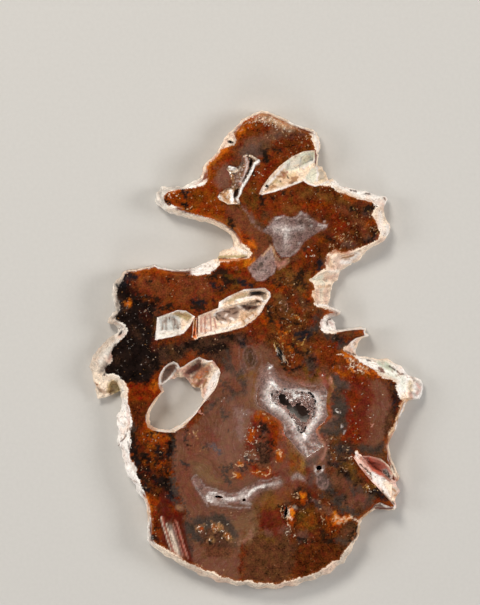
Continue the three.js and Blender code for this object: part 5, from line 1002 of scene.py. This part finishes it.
def node(tree, kind, links=None, **settings):
    """Adds a shader node with its own settings, and with a value or another node's output on each input."""
    made = tree.nodes.new("ShaderNode" + kind)
    for name, value in settings.items():
        setattr(made, name, value)
    for name, value in (links or {}).items():
        if isinstance(value, bpy.types.NodeSocket):
            tree.links.new(value, made.inputs[name])
        else:
            made.inputs[name].default_value = value
    return made.outputs


def new_material(name):
    """A material, its tree, and the place on the object that its textures follow."""
    material = bpy.data.materials.new(name)
    material.use_nodes = True
    tree = material.node_tree
    tree.nodes.clear()
    return material, tree, node(tree, "TexCoord")["Object"]


def new_object(name, data):
    made = bpy.data.objects.new(name, data)
    bpy.context.scene.collection.objects.link(made)
    return made


def dice(stone, faces, axis, places):
    """Cuts faces across an axis at every place, halving the stack so that each cut meets only faces nearby."""
    if not places or not faces:
        return
    middle = len(places) // 2
    square = Vector([float(i == axis) for i in range(3)])
    edges = {edge for face in faces for edge in face.edges}
    corners = {corner for edge in edges for corner in edge.verts}
    cut = bmesh.ops.bisect_plane(
        stone, geom=[*faces, *edges, *corners], dist=1e-8, plane_co=square * places[middle], plane_no=square)
    pieces = [(piece, piece.calc_center_median()[axis] < places[middle])
              for piece in cut["geom"] if isinstance(piece, bmesh.types.BMFace)]
    dice(stone, [piece for piece, is_low in pieces if is_low], axis, places[:middle])
    dice(stone, [piece for piece, is_low in pieces if not is_low], axis, places[middle + 1:])


def places_along(low, high, step):
    """Evenly spaced places for cuts, the first of them some way in from the low end."""
    first = 0.37
    return [low + step * (i + first) for i in range(int((high - low) / step))]


def diced_copy(node_name, step, broken_step, back_step):
    """A merged copy of a CAD node, cut finely enough to carry the marks, with each face's finish noted."""
    low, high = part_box(node_name)
    stone = bmesh.new()
    stone.from_mesh(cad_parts[node_name].data)
    bmesh.ops.remove_doubles(stone, verts=stone.verts, dist=SAME_PLACE)
    bmesh.ops.dissolve_limit(stone, angle_limit=math.radians(0.2), verts=stone.verts, edges=stone.edges)
    for face in stone.faces:
        heights = [corner.co.z for corner in face.verts]
        face.material_index = BROKEN_OPEN
        if min(heights) > FACE_Z - LEVEL:
            face.material_index = POLISHED
        if max(heights) < LEVEL:
            face.material_index = SAWN
    # what the camera looks down on is cut as finely as the polished face, and steep walls more coarsely
    for is_chosen, apart in (
            (lambda face: face.material_index != SAWN and face.normal.z > SEEN_FROM_ABOVE, step),
            (lambda face: face.material_index == BROKEN_OPEN and face.normal.z <= SEEN_FROM_ABOVE, broken_step),
            (lambda face: face.material_index == SAWN, back_step)):
        for axis in (1, 0):
            stone.normal_update()
            dice(stone, [face for face in stone.faces if is_chosen(face)], axis,
                 places_along(low[axis], high[axis], apart))
    walls = [face for face in stone.faces if face.material_index == BROKEN_OPEN and face.normal.z < NEARLY_LEVEL]
    dice(stone, walls, 2, places_along(low.z, high.z, broken_step))
    return stone


def roughen(stone, coarse, fine, filled=()):
    """Breaks the broken faces into hollows with sharp ridges between them, and notes how far each point lies from a
    hollow's bottom. Every edge of the polished face and the back stays where it is, as do walls behind a crust."""
    # in millimetres: the width of a hollow, the bends of the ridges and how far they reach, and the grain
    hollow, bend, bend_reach, grain = 1.9, 2.2, 0.7, 0.7
    stone.normal_update()
    ridges = stone.verts.layers.float.new("ridge")
    for corner in stone.verts:
        behind = any(low.x - MM < corner.co.x < high.x + MM and low.y - MM < corner.co.y < high.y + MM
                     for low, high in filled)
        if not behind and all(face.material_index == BROKEN_OPEN for face in corner.link_faces):
            place = corner.co / MM
            bent = place + noise.noise_vector(place / bend) * bend_reach
            ridge = noise.voronoi(bent / hollow)[0][0]
            corner[ridges] = ridge
            corner.co += corner.normal * ((ridge - MIDDLE_RIDGE) * coarse + noise.noise(place / grain) * fine)
            corner.co.z = min(max(corner.co.z, 0.05 * MM), FACE_Z - 0.01 * MM)


def finished(stone, name, materials, replaces, crease):
    """Turns a bmesh into a smooth-shaded piece that rides with the stone."""
    mesh = bpy.data.meshes.new(name)
    stone.to_mesh(mesh)
    stone.free()
    for material in materials:
        mesh.materials.append(material)
    mesh.shade_smooth()
    mesh.set_sharp_from_angle(angle=math.radians(crease))
    piece = new_object(name, mesh)
    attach(piece, "root")
    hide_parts(replaces)
    return piece


def in_pixels(x, y):
    """Where a place lies on the photograph that the marks were placed on."""
    return PIXEL_X0 + x / PIXEL, PIXEL_Y0 - y / PIXEL


def pixel_spots(mesh):
    """Each vertex's place on the photograph, and its height."""
    places = np.empty(len(mesh.vertices) * 3, np.float32)
    mesh.vertices.foreach_get("co", places)
    x, y, heights = places.reshape(-1, 3).astype(float).T
    return np.stack(in_pixels(x, y), 1), heights


def stain(tree, below, amount, where, code):
    """Lays a tint over a colour by some amount, and only where the stone takes it."""
    cover = node(tree, "Math", {0: amount, 1: where}, operation="MULTIPLY")["Value"]
    return node(tree, "Mix", {0: cover, 6: below, 7: shade(code) + [1]}, data_type="RGBA")[2]


def crisp_layer(tree, name, share, ragged, below):
    """Lays a layer of small marks over a colour, cut off sharply where its alpha passes a half."""
    marks = node(tree, "Attribute", attribute_name=name)
    level = node(tree, "Math", {0: marks["Alpha"], 1: ragged}, operation="ADD")["Value"]
    cover = node(tree, "MapRange", {"Value": level, "From Min": 0.455, "From Max": 0.545, "To Max": share})["Result"]
    return node(tree, "Mix", {0: cover, 6: below, 7: marks["Color"]}, data_type="RGBA")[2]


def polished_agate():
    """Moss agate, sawn and polished with ever finer grit: a glassy face, with the colour below it."""
    material, tree, place = new_material("polished moss agate")
    paint = node(tree, "Attribute", attribute_name="face_paint")
    # clouds of pigment about 2 mm across, and grains of about 0.5 mm
    clouds = node(tree, "TexNoise", {"Vector": place, "Scale": 430, "Detail": 5, "Roughness": 0.62})["Fac"]
    grains = node(tree, "TexNoise", {"Vector": place, "Scale": 1900, "Detail": 3, "Roughness": 0.65})["Fac"]
    cloudy = node(tree, "MapRange", {"Value": clouds, "From Min": 0.28, "From Max": 0.72, "To Min": -0.7,
                                     "To Max": 0.7})["Result"]
    grainy = node(tree, "MapRange", {"Value": grains, "From Min": 0.25, "From Max": 0.75, "To Min": -0.8,
                                     "To Max": 0.8})["Result"]
    both = node(tree, "Math", {0: cloudy, 1: grainy}, operation="ADD")["Value"]
    strength = node(tree, "Math", {0: both, 1: paint["Alpha"], 2: 0.9}, operation="MULTIPLY_ADD")["Value"]
    # chalcedony grew in layers that follow the hollows: faint tones, and thin pale lines between some of them
    layers = node(tree, "Attribute", attribute_name="growth_layers")
    tones = node(tree, "TexNoise", {"Vector": place, "W": layers["Fac"], "Scale": 60, "Detail": 3, "Roughness": 0.7},
                 noise_dimensions="4D")["Fac"]
    even = node(tree, "MapRange", {"Value": paint["Alpha"], "From Min": 0.15, "From Max": 0.55, "To Min": 1,
                                   "To Max": 0})["Result"]
    banded = node(tree, "MapRange", {"Value": tones, "From Min": 0.35, "From Max": 0.65, "To Min": -0.14,
                                     "To Max": 0.14})["Result"]
    strength = node(tree, "Math", {0: banded, 1: even, 2: strength}, operation="MULTIPLY_ADD")["Value"]
    # quartz let into the stone is a mass of crystals about 0.4 mm across, each with its own brightness
    share = node(tree, "Attribute", attribute_name="quartz_share")["Fac"]
    cells = node(tree, "TexVoronoi", {"Vector": place, "Scale": 2300})["Color"]
    lit = node(tree, "SeparateColor", {"Color": cells})["Red"]
    sparkle = node(tree, "MapRange", {"Value": lit, "To Min": -0.3, "To Max": 0.33})["Result"]
    strength = node(tree, "Math", {0: sparkle, 1: share, 2: strength}, operation="MULTIPLY_ADD")["Value"]
    hues = node(tree, "TexNoise", {"Vector": place, "Scale": 700, "Detail": 3, "W": 3}, noise_dimensions="4D")["Fac"]
    turn = node(tree, "MapRange", {"Value": hues, "From Min": 0.3, "From Max": 0.7, "To Min": 0.4865,
                                   "To Max": 0.5105})["Result"]
    coloured = node(tree, "HueSaturation", {"Hue": turn, "Saturation": 1.01, "Value": strength,
                                            "Color": paint["Color"]})["Color"]
    off_line = node(tree, "Math", {0: tones, 1: 0.5}, operation="SUBTRACT")["Value"]
    off_line = node(tree, "Math", {0: off_line}, operation="ABSOLUTE")["Value"]
    line = node(tree, "MapRange", {"Value": off_line, "From Max": 0.01, "To Min": 0.2, "To Max": 0})["Result"]
    coloured = stain(tree, coloured, line, even, PALE_LINE)
    # specks of moss and of ochre that fill the jasper, 0.3 to 0.8 mm across
    flecks = node(tree, "TexNoise", {"Vector": place, "Scale": 1250, "Detail": 4, "Roughness": 0.6, "W": 8},
                  noise_dimensions="4D")["Fac"]
    mossy = node(tree, "MapRange", {"Value": paint["Alpha"], "From Min": 0.4, "From Max": 0.9})["Result"]
    crowded = node(tree, "Math", {0: paint["Alpha"], 1: 0.12, 2: flecks}, operation="MULTIPLY_ADD")["Value"]
    dark = node(tree, "MapRange", {"Value": crowded, "From Min": 0.67, "From Max": 0.76, "To Max": 0.62})["Result"]
    coloured = node(tree, "Mix", {0: dark, 6: coloured, 7: shade(MOSS_SPECK) + [1]}, data_type="RGBA")[2]
    bright = node(tree, "MapRange", {"Value": flecks, "From Min": 0.355, "From Max": 0.3, "To Max": 0.5})["Result"]
    coloured = stain(tree, coloured, bright, mossy, OCHRE_SPECK)
    edges = node(tree, "TexNoise", {"Vector": place, "Scale": 2300, "Detail": 3, "Roughness": 0.6})["Fac"]
    ragged = node(tree, "MapRange", {"Value": edges, "From Min": 0.25, "From Max": 0.75, "To Min": -0.17,
                                     "To Max": 0.17})["Result"]
    coloured = crisp_layer(tree, "crumb_marks", 0.72, ragged, coloured)
    # the pale rim shows through where the stone thins out towards its broken edge, and an orange glow is painted there
    # for light shining through the thin stone
    gap = node(tree, "Attribute", attribute_name="rim_gap")["Fac"]
    rim = node(tree, "Attribute", attribute_name="broken_paint")["Color"]
    runs = node(tree, "TexNoise", {"Vector": place, "Scale": 110, "Detail": 6, "Roughness": 0.75})["Fac"]
    runs = node(tree, "MapRange", {"Value": runs, "From Min": 0.42, "From Max": 0.75, "To Min": 0.2,
                                   "To Max": 5})["Result"]
    frayed = node(tree, "Math", {0: ragged, 1: 5.0, 2: gap}, operation="MULTIPLY_ADD")["Value"]
    left = node(tree, "Math", {0: runs, 1: frayed}, operation="SUBTRACT")["Value"]
    thin = node(tree, "MapRange", {"Value": left, "From Min": -0.3, "From Max": 0.7})["Result"]
    rim_glow_cover = node(tree, "MapRange", {"Value": left, "From Min": -2.2, "From Max": 0.2, "To Max": 0.5})["Result"]
    warm = node(tree, "SeparateColor", {"Color": paint["Color"]})["Red"]
    warm = node(tree, "MapRange", {"Value": warm, "From Min": 0.03, "From Max": 0.12})["Result"]
    coloured = stain(tree, coloured, rim_glow_cover, warm, RIM_GLOW_PAINTED)
    coloured = node(tree, "Mix", {0: thin, 6: coloured, 7: rim}, data_type="RGBA")[2]
    smear = node(tree, "MapRange", {"Value": grains, "To Min": 0.11, "To Max": 0.19})["Result"]
    surface = node(tree, "BsdfPrincipled", {"Base Color": coloured, "Roughness": smear, "IOR": 1.54})["BSDF"]
    node(tree, "OutputMaterial", {"Surface": surface})
    return material


def broken_chalcedony():
    """The rim, casts and window wall: chalcedony left as it broke or grew, so it is matt and finely rough."""
    material, tree, place = new_material("broken chalcedony")
    paint = node(tree, "Attribute", attribute_name="broken_paint")
    # a sugary grain of about 0.6 mm
    grains = node(tree, "TexNoise", {"Vector": place, "Scale": 1700, "Detail": 4, "Roughness": 0.7})["Fac"]
    patches = node(tree, "TexNoise", {"Vector": place, "Scale": 420, "Detail": 4, "Roughness": 0.65})["Fac"]
    both = node(tree, "Math", {0: grains, 1: patches}, operation="ADD")["Value"]
    spread = node(tree, "MapRange", {"Value": both, "From Min": 0.68, "From Max": 1.32, "To Min": -0.9,
                                     "To Max": 0.9})["Result"]
    strength = node(tree, "Math", {0: spread, 1: paint["Alpha"], 2: 1.1}, operation="MULTIPLY_ADD")["Value"]
    coloured = node(tree, "HueSaturation", {"Value": strength, "Color": paint["Color"]})["Color"]
    torn = node(tree, "MapRange", {"Value": grains, "From Min": 0.25, "From Max": 0.75, "To Min": -0.08,
                                   "To Max": 0.08})["Result"]
    coloured = crisp_layer(tree, "broken_marks", 0.85, torn, coloured)
    coloured = crisp_layer(tree, "crumb_marks", 0.5, torn, coloured)
    # iron stains some millimetres across, and dirt left in pits of 0.3 mm and along hairline cracks; neither
    # shows where the brown body of the stone is bared
    pale = node(tree, "SeparateColor", {"Color": paint["Color"]})["Green"]
    pale = node(tree, "MapRange", {"Value": pale, "From Min": 0.06, "From Max": 0.35})["Result"]
    stains = node(tree, "TexNoise", {"Vector": place, "Scale": 210, "Detail": 4, "Roughness": 0.6})["Fac"]
    stained = node(tree, "MapRange", {"Value": stains, "From Min": 0.52, "From Max": 0.7, "To Max": 0.4})["Result"]
    coloured = stain(tree, coloured, stained, pale, IRON_STAIN)
    pits = node(tree, "MapRange", {"Value": grains, "From Min": 0.36, "From Max": 0.28, "To Max": 0.6})["Result"]
    coloured = stain(tree, coloured, pits, pale, PIT_DIRT)
    wobble = node(tree, "TexNoise", {"Vector": place, "Scale": 500})["Color"]
    bent = node(tree, "Mix", {0: 0.0012, 4: place, 5: wobble}, data_type="VECTOR")[1]
    seams = node(tree, "TexVoronoi", {"Vector": bent, "Scale": 260}, feature="DISTANCE_TO_EDGE")["Distance"]
    crack = node(tree, "MapRange", {"Value": seams, "From Max": 0.045, "To Min": 0.7, "To Max": 0})["Result"]
    some = node(tree, "MapRange", {"Value": patches, "From Min": 0.5, "From Max": 0.6})["Result"]
    coloured = stain(tree, coloured, crack, some, CRACK_DIRT)
    # the hollows between the ridges are painted darker and browner, the more so the deeper they lie
    ridge = node(tree, "Attribute", attribute_name="ridge")["Fac"]
    ridge = node(tree, "Math", {0: grains, 1: 0.35, 2: ridge}, operation="MULTIPLY_ADD")["Value"]
    hollow_depth_tint = node(tree, "MapRange", {"Value": ridge, "From Min": 0.52, "From Max": 0.3, "To Max": 0.55})["Result"]
    coloured = stain(tree, coloured, hollow_depth_tint, pale, HOLLOW_DARKENING)
    height = node(tree, "Math", {0: patches, 1: 1.5, 2: grains}, operation="MULTIPLY_ADD")["Value"]
    relief = node(tree, "Bump", {"Height": height, "Strength": 0.8, "Distance": 0.35 * MM})["Normal"]
    surface = node(tree, "BsdfPrincipled", {"Base Color": coloured, "Roughness": 0.5, "IOR": 1.54,
                                            "Normal": relief})["BSDF"]
    node(tree, "OutputMaterial", {"Surface": surface})
    return material


def sawn_agate():
    """The back, straight from the saw: dull, a little dusty, with the faint arcs of the blade."""
    material, tree, place = new_material("sawn moss agate")
    paint = node(tree, "Attribute", attribute_name="face_paint")
    grains = node(tree, "TexNoise", {"Vector": place, "Scale": 1400, "Detail": 4, "Roughness": 0.65})["Fac"]
    clouds = node(tree, "TexNoise", {"Vector": place, "Scale": 380, "Detail": 4, "Roughness": 0.6})["Fac"]
    both = node(tree, "Math", {0: grains, 1: clouds}, operation="ADD")["Value"]
    spread = node(tree, "MapRange", {"Value": both, "From Min": 0.6, "From Max": 1.4, "To Min": -0.5,
                                     "To Max": 0.5})["Result"]
    strength = node(tree, "Math", {0: spread, 1: paint["Alpha"], 2: 1.25}, operation="MULTIPLY_ADD")["Value"]
    coloured = node(tree, "HueSaturation", {"Saturation": 0.75, "Value": strength, "Color": paint["Color"]})["Color"]
    dusty = node(tree, "Mix", {0: 0.12, 6: coloured, 7: shade(SAW_DUST) + [1]}, data_type="RGBA")[2]
    # the saw feeds about 0.7 mm a stroke, in arcs as wide as its blade
    centred = node(tree, "Mapping", {"Vector": place, "Location": (0.19, 0.05, 0)})["Vector"]
    arcs = node(tree, "TexWave", {"Vector": centred, "Scale": 225, "Distortion": 1.2, "Detail": 2,
                                  "Detail Scale": 2}, wave_type="RINGS", rings_direction="Z")["Fac"]
    height = node(tree, "Math", {0: arcs, 1: grains}, operation="ADD")["Value"]
    relief = node(tree, "Bump", {"Height": height, "Strength": 0.3, "Distance": 0.06 * MM})["Normal"]
    surface = node(tree, "BsdfPrincipled", {"Base Color": dusty, "Roughness": 0.62, "IOR": 1.54,
                                            "Normal": relief})["BSDF"]
    node(tree, "OutputMaterial", {"Surface": surface})
    return material


# The stone
stone = diced_copy("agate_slab", step=0.42 * MM, broken_step=1.0 * MM, back_step=2.5 * MM)
roughen(stone, coarse=0.75 * MM, fine=0.14 * MM, filled=[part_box("quartz_druse"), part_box("crown_crust")])
# the polished face's edge where it wasn't opened by the saw, and the back's edge
brink, foot = KDTree(len(stone.verts)), KDTree(len(stone.verts))
for index, corner in enumerate(stone.verts):
    x, y = in_pixels(corner.co.x, corner.co.y)
    finishes = {face.material_index for face in corner.link_faces}
    if finishes >= {POLISHED, BROKEN_OPEN}:
        if all(math.hypot(x - px, y - py) > reach for px, py, reach in OPENED_BY_THE_SAW):
            brink.insert(corner.co, index)
    if finishes >= {SAWN, BROKEN_OPEN}:
        foot.insert(corner.co, index)
brink.balance()
foot.balance()
slab = finished(stone, "polished_slab", [polished_agate(), broken_chalcedony(), sawn_agate()],
                "agate_slab", crease=40)
spots, heights = pixel_spots(slab.data)
# the marks go down through the stone at a slant, about 7 pixels to the side at the back
inward = (wander(spots, (7, 14, 9)) - spots) * np.clip(1 - heights / FACE_Z, 0, 1)[:, None]
grit = grit_of(spots, 0.55, 1)
face = np.tile(paint_of("jasper"), (len(spots), 1))
# each table of marks with the swells that bend its edges, and how gritty and how soft they are
for marks, swells, gritty, blur in (
        (GROUNDS, [(2.5, 10, 1), (1.2, 4, 2), (0.5, 1.8, 3)], 1, 0.8),
        (CLOUDS, [(1.2, 5, 4), (0.6, 2, 5)], 1, 0.9),
        (MOSS, [(1.8, 4, 8)], 1.4, 0.85),
        (QUARTZ, [(0.5, 4, 6)], 0.5, 1),
        (STRIPES, [(0.5, 12, 6)], 0.15, 1)):
    lay(face, wander(spots, *swells) + inward, marks, grit * gritty, blur)
keep_layer(slab.data, "face_paint", face)
clear = np.zeros((len(spots), 4))
lay(clear, wander(spots, (0.5, 4, 6)) + inward,
    [("snow", reach, soft, 1, paths) for mineral, reach, soft, _, paths in QUARTZ
     if mineral in ("smoke", "lilac", "quartz", "milk")], grit * 0.5)
keep_crisp(slab.data, "crumb_marks", wander(spots, (0.6, 3, 7)) + inward, drawn(CRUMBS) + strewn(STREWN, 5))
grown = wander(spots, (0.8, 9, 8))
layers = np.min([distance_to_path(grown, path_points(outline)) for outline in GROWTH], axis=0)
gaps = np.array([brink.find(corner.co)[2] for corner in slab.data.vertices]) / PIXEL
for name, numbers in (("growth_layers", layers * LAYER_PACE), ("rim_gap", gaps), ("quartz_share", clear[:, 0])):
    kept = slab.data.attributes.new(name, "FLOAT", "POINT")
    kept.data.foreach_set("value", numbers.astype(np.float32))
broken = np.tile(paint_of("cream"), (len(spots), 1))
lay(broken, wander(spots, (0.4, 3, 6)), BROKEN, grit * 0.5)
skins = np.array([foot.find((corner.co.x, corner.co.y, 0))[2] for corner in slab.data.vertices]) / PIXEL
for width, soft, outline in THIN_SKIN:
    fading = np.clip(depth_in(spots, path_points(outline)) / 3 + 0.5, 0, 1)
    bared = fading * np.clip((skins - width) / soft + grit + 0.5, 0, 1)
    broken += (face - broken) * bared[:, None]
keep_layer(slab.data, "broken_paint", broken)
# the thin, sharp marks of the broken faces are laid once more, crisply
THIN = 1.2
thin_rows = [row for row in BROKEN if row[1] and row[1] <= THIN and row[2] <= THIN]
keep_crisp(slab.data, "broken_marks", wander(spots, (0.5, 3, 6)), drawn(thin_rows))


def meet_stone(crust, reach):
    """Closes the CAD's working gap: the crust's outer side is drawn on to the stone that it grew on."""
    for corner in crust.verts:
        tree = face_tree if corner.co.z > FACE_Z - LEVEL else stone_tree
        place, _, _, gap = tree.find_nearest(corner.co)
        if gap < reach:
            corner.co += (place - corner.co) * GAP_CLOSED


def open_slopes(crust, top, slot):
    """The open crystal ground, back from the edge of the slot: each face's middle, its normal and its area."""
    slopes = [(face.calc_center_median(), face.normal.copy(), face.calc_area()) for face in crust.faces
              if face.material_index == BROKEN_OPEN and face.normal.z > GROUND_UP
              and LOWEST_POINTS < face.calc_center_median().z < top]
    spots = np.array([in_pixels(place.x, place.y) for place, _, _ in slopes])
    # points lean out from steep ground, so they start further back there
    steep = np.array([1 - normal.z for _, normal, _ in slopes])
    back = distance_to_path(spots, slot, True) > SLOT_CLEAR + SLOT_CLEAR_ON_WALLS * steep
    far = back & ~is_inside(spots, slot)
    return [slope for slope, is_far in zip(slopes, far) if is_far]


def grow_points(crust, slopes, count, low, high, top, rng):
    """Plants six-sided quartz points all over the open ground, each a short prism whose cap is poked to a tip."""
    sway, upward = 0.55, Vector((0, 0, 0.35))
    for place, normal, _ in rng.choices(slopes, weights=[area for _, _, area in slopes], k=count):
        radius = rng.uniform(low, high)
        rise = radius * rng.uniform(1.0, 1.9)
        lean = (normal + Vector([rng.uniform(-sway, sway) for _ in range(3)]) + upward).normalized()
        upright = lean.to_track_quat("Z", "Y").to_matrix().to_4x4()
        spin = Matrix.Rotation(rng.uniform(0, math.tau), 4, "Z")
        middle = Matrix.Translation(place + lean * (rise * 0.5 - radius * 0.5))
        made = bmesh.ops.create_cone(crust, cap_ends=True, segments=6, radius1=radius, radius2=radius * 0.9,
                                     depth=rise, matrix=middle @ upright @ spin)
        ends = {face for corner in made["verts"] for face in corner.link_faces if len(face.verts) == 6}
        cap = max(ends, key=lambda face: face.calc_center_median().dot(lean))
        bmesh.ops.poke(crust, faces=[cap], offset=radius * rng.uniform(0.7, 1.2))
        for face in {face for corner in made["verts"] for face in corner.link_faces}:
            face.material_index = POINTS
            for corner in face.verts:
                corner.co.z = min(max(corner.co.z, 0.1 * MM), top)


def sawn_quartz():
    """Milky quartz, sawn flush and polished with the face: grains of uneven brightness under a glassy surface."""
    material, tree, place = new_material("polished milky quartz")
    paint = node(tree, "Attribute", attribute_name="crust_paint")
    grains = node(tree, "TexNoise", {"Vector": place, "Scale": 1200, "Detail": 4, "Roughness": 0.7})["Fac"]
    cells = node(tree, "TexVoronoi", {"Vector": place, "Scale": 2200})["Color"]
    lit = node(tree, "SeparateColor", {"Color": cells})["Red"]
    both = node(tree, "Math", {0: grains, 1: 1.2, 2: lit}, operation="MULTIPLY_ADD")["Value"]
    strength = node(tree, "MapRange", {"Value": both, "From Min": 0.3, "From Max": 1.9, "To Min": 0.45,
                                       "To Max": 1.5})["Result"]
    coloured = node(tree, "HueSaturation", {"Value": strength, "Color": paint["Color"]})["Color"]
    surface = node(tree, "BsdfPrincipled", {"Base Color": coloured, "Roughness": 0.2, "IOR": 1.544,
                                            "Subsurface Weight": 0.15, "Subsurface Scale": 0.5 * MM})["BSDF"]
    node(tree, "OutputMaterial", {"Surface": surface})
    return material


def quartz_points(name):
    """Quartz points as they grew: glass-smooth faces, milky inside, so that light spreads within them."""
    material, tree, place = new_material(name)
    paint = node(tree, "Attribute", attribute_name="crust_paint")
    grains = node(tree, "TexNoise", {"Vector": place, "Scale": 1600, "Detail": 3, "Roughness": 0.6})["Fac"]
    spread = node(tree, "MapRange", {"Value": grains, "From Min": 0.3, "From Max": 0.7, "To Min": -0.5,
                                     "To Max": 0.5})["Result"]
    strength = node(tree, "Math", {0: spread, 1: paint["Alpha"], 2: 1.4}, operation="MULTIPLY_ADD")["Value"]
    coloured = node(tree, "HueSaturation", {"Value": strength, "Color": paint["Color"]})["Color"]
    surface = node(tree, "BsdfPrincipled", {"Base Color": coloured, "Roughness": 0.14, "IOR": 1.544,
                                            "Subsurface Weight": 0.5, "Subsurface Radius": (1, 0.9, 0.85),
                                            "Subsurface Scale": 1.2 * MM})["BSDF"]
    node(tree, "OutputMaterial", {"Surface": surface})
    return material


# The clear slot in the middle of the druse.
SLOT = ("276.5,388 278,391 283,393 287,397.5 289.8,402 292.5,406.5 298,402.4 302.5,404.3 308,409.3 310,414 308.5,420.5"
        " 304.3,423.5 296.5,417.3 289,411 283,405.3 278.8,400 278.5,394.3")


def crystal_crust(node_name, name, base, marks, growth, ground_material, point_name, step, shallow):
    """A crust of quartz over a CAD node: lumpy ground, drawn on to the stone and set with points. Growth is how
    many points there are, their least and greatest radius, and the height that they stay below. Shallow is the
    share of the ground's depth that is kept."""
    crust = diced_copy(node_name, step, step, 2 * MM)
    for corner in crust.verts:
        if corner.co.z > 0.5 * MM:
            corner.co.z = FACE_Z - (FACE_Z - corner.co.z) * shallow
    roughen(crust, coarse=0.4 * MM, fine=0.12 * MM)
    meet_stone(crust, reach=0.5 * MM)
    crust.normal_update()
    count, low, high, top = growth
    slopes = open_slopes(crust, top, path_points(SLOT))
    grow_points(crust, slopes, count, low, high, top, random.Random(len(marks)))
    points = quartz_points(point_name)
    piece = finished(crust, name, [sawn_quartz(), ground_material, sawn_agate(), points], node_name, crease=25)
    spots, _ = pixel_spots(piece.data)
    paint = np.tile(paint_of(base), (len(spots), 1))
    lay(paint, wander(spots, (0.4, 3, 7)), marks, grit_of(spots, 0.35, 2))
    for layer_name in ("crust_paint", "face_paint"):
        keep_layer(piece.data, layer_name, paint)


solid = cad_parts["agate_slab"].data
sides = [list(face.vertices) for face in solid.polygons]
stone_tree = BVHTree.FromPolygons([corner.co for corner in solid.vertices], sides)
face_tree = BVHTree.FromPolygons([corner.co for corner in solid.vertices], [
    side for side in sides if min(solid.vertices[index].co.z for index in side) > FACE_Z - LEVEL])
crystal_crust("quartz_druse", "druse", "lilac", DRUSE_MARKS,
              (760, 0.2 * MM, 0.45 * MM, FACE_Z - 0.12 * MM),
              quartz_points("quartz ground under the points"), "quartz points", step=0.45 * MM, shallow=0.3)
crystal_crust("crown_crust", "crown_hollow_crust", "taupe", CRUST_MARKS,
              (260, 0.16 * MM, 0.34 * MM, FACE_Z - 0.2 * MM),
              quartz_points("fine drusy quartz"), "fine quartz points", step=0.4 * MM, shallow=1.0)

# Floor, light and camera
mesh = bpy.data.meshes.new("floor")
ground = bmesh.new()
bmesh.ops.create_grid(ground, x_segments=8, y_segments=8, size=1.0)
ground.to_mesh(mesh)
ground.free()
floor = new_object("floor", mesh)
floor_material, tree, place = new_material("matt paper floor")
fibres = node(tree, "TexNoise", {"Vector": place, "Scale": 900, "Detail": 2})["Fac"]
tone = node(tree, "Mix", {0: fibres, 6: shade("#BDBAB5") + [1], 7: shade("#C4C1BC") + [1]}, data_type="RGBA")[2]
node(tree, "OutputMaterial", {"Surface": node(tree, "BsdfPrincipled", {"Base Color": tone, "Roughness": 0.9})["BSDF"]})
floor.data.materials.append(floor_material)

world = bpy.data.worlds.new("studio")
bpy.context.scene.world = world
world.use_nodes = True
sky = world.node_tree
sky.nodes.clear()
# dark overhead, so that the polished face mirrors nothing bright, and pale all round
rise = node(sky, "SeparateXYZ", {"Vector": node(sky, "TexCoord")["Generated"]})["Z"]
pale = node(sky, "MapRange", {"Value": rise, "From Min": 0.35, "From Max": 0.8, "To Min": 0.6, "To Max": 0.0})["Result"]
glow = node(sky, "Background", {"Color": shade("#F2F2F4") + [1], "Strength": pale})["Background"]
node(sky, "OutputWorld", {"Surface": glow})
# round lamps aimed at the middle of the stone's back: name, place, width, power and colour
for name, place, size, power, colour in (
        ("key", (-0.35, 0.62, 0.95), 0.35, 8, "#FFFAF2"), ("left", (-0.95, 0.0, 0.7), 0.5, 4.5, "#FFFFFF"),
        ("right", (0.95, 0.1, 0.7), 0.5, 7, "#FFFFFF"), ("front", (0.1, -0.95, 0.7), 0.5, 2.5, "#FFFFFF")):
    light = bpy.data.lights.new(name, "AREA")
    light.shape = "DISK"
    light.size = size
    light.energy = power
    light.color = shade(colour)
    lamp = new_object(name, light)
    lamp.location = place
    lamp.rotation_euler = (Vector() - Vector(place)).to_track_quat("-Z", "Y").to_euler()

# The photograph looks straight down on the face. Its middle is to the left of the stone's.
PHOTO_WIDE, PHOTO_HIGH = 480, 605
CAMERA_RISE = 1.6
SENSOR = 24
camera_data = bpy.data.cameras.new("camera")
camera = new_object("camera", camera_data)
camera.location = ((PHOTO_WIDE / 2 - PIXEL_X0) * PIXEL, (PIXEL_Y0 - PHOTO_HIGH / 2) * PIXEL, FACE_Z + CAMERA_RISE)
camera_data.sensor_fit = "VERTICAL"
camera_data.sensor_height = SENSOR
camera_data.lens = SENSOR * CAMERA_RISE / (PHOTO_HIGH * PIXEL)
camera_data.clip_end = 20
bpy.context.scene.camera = camera
bpy.context.scene.view_settings.view_transform = "Standard"
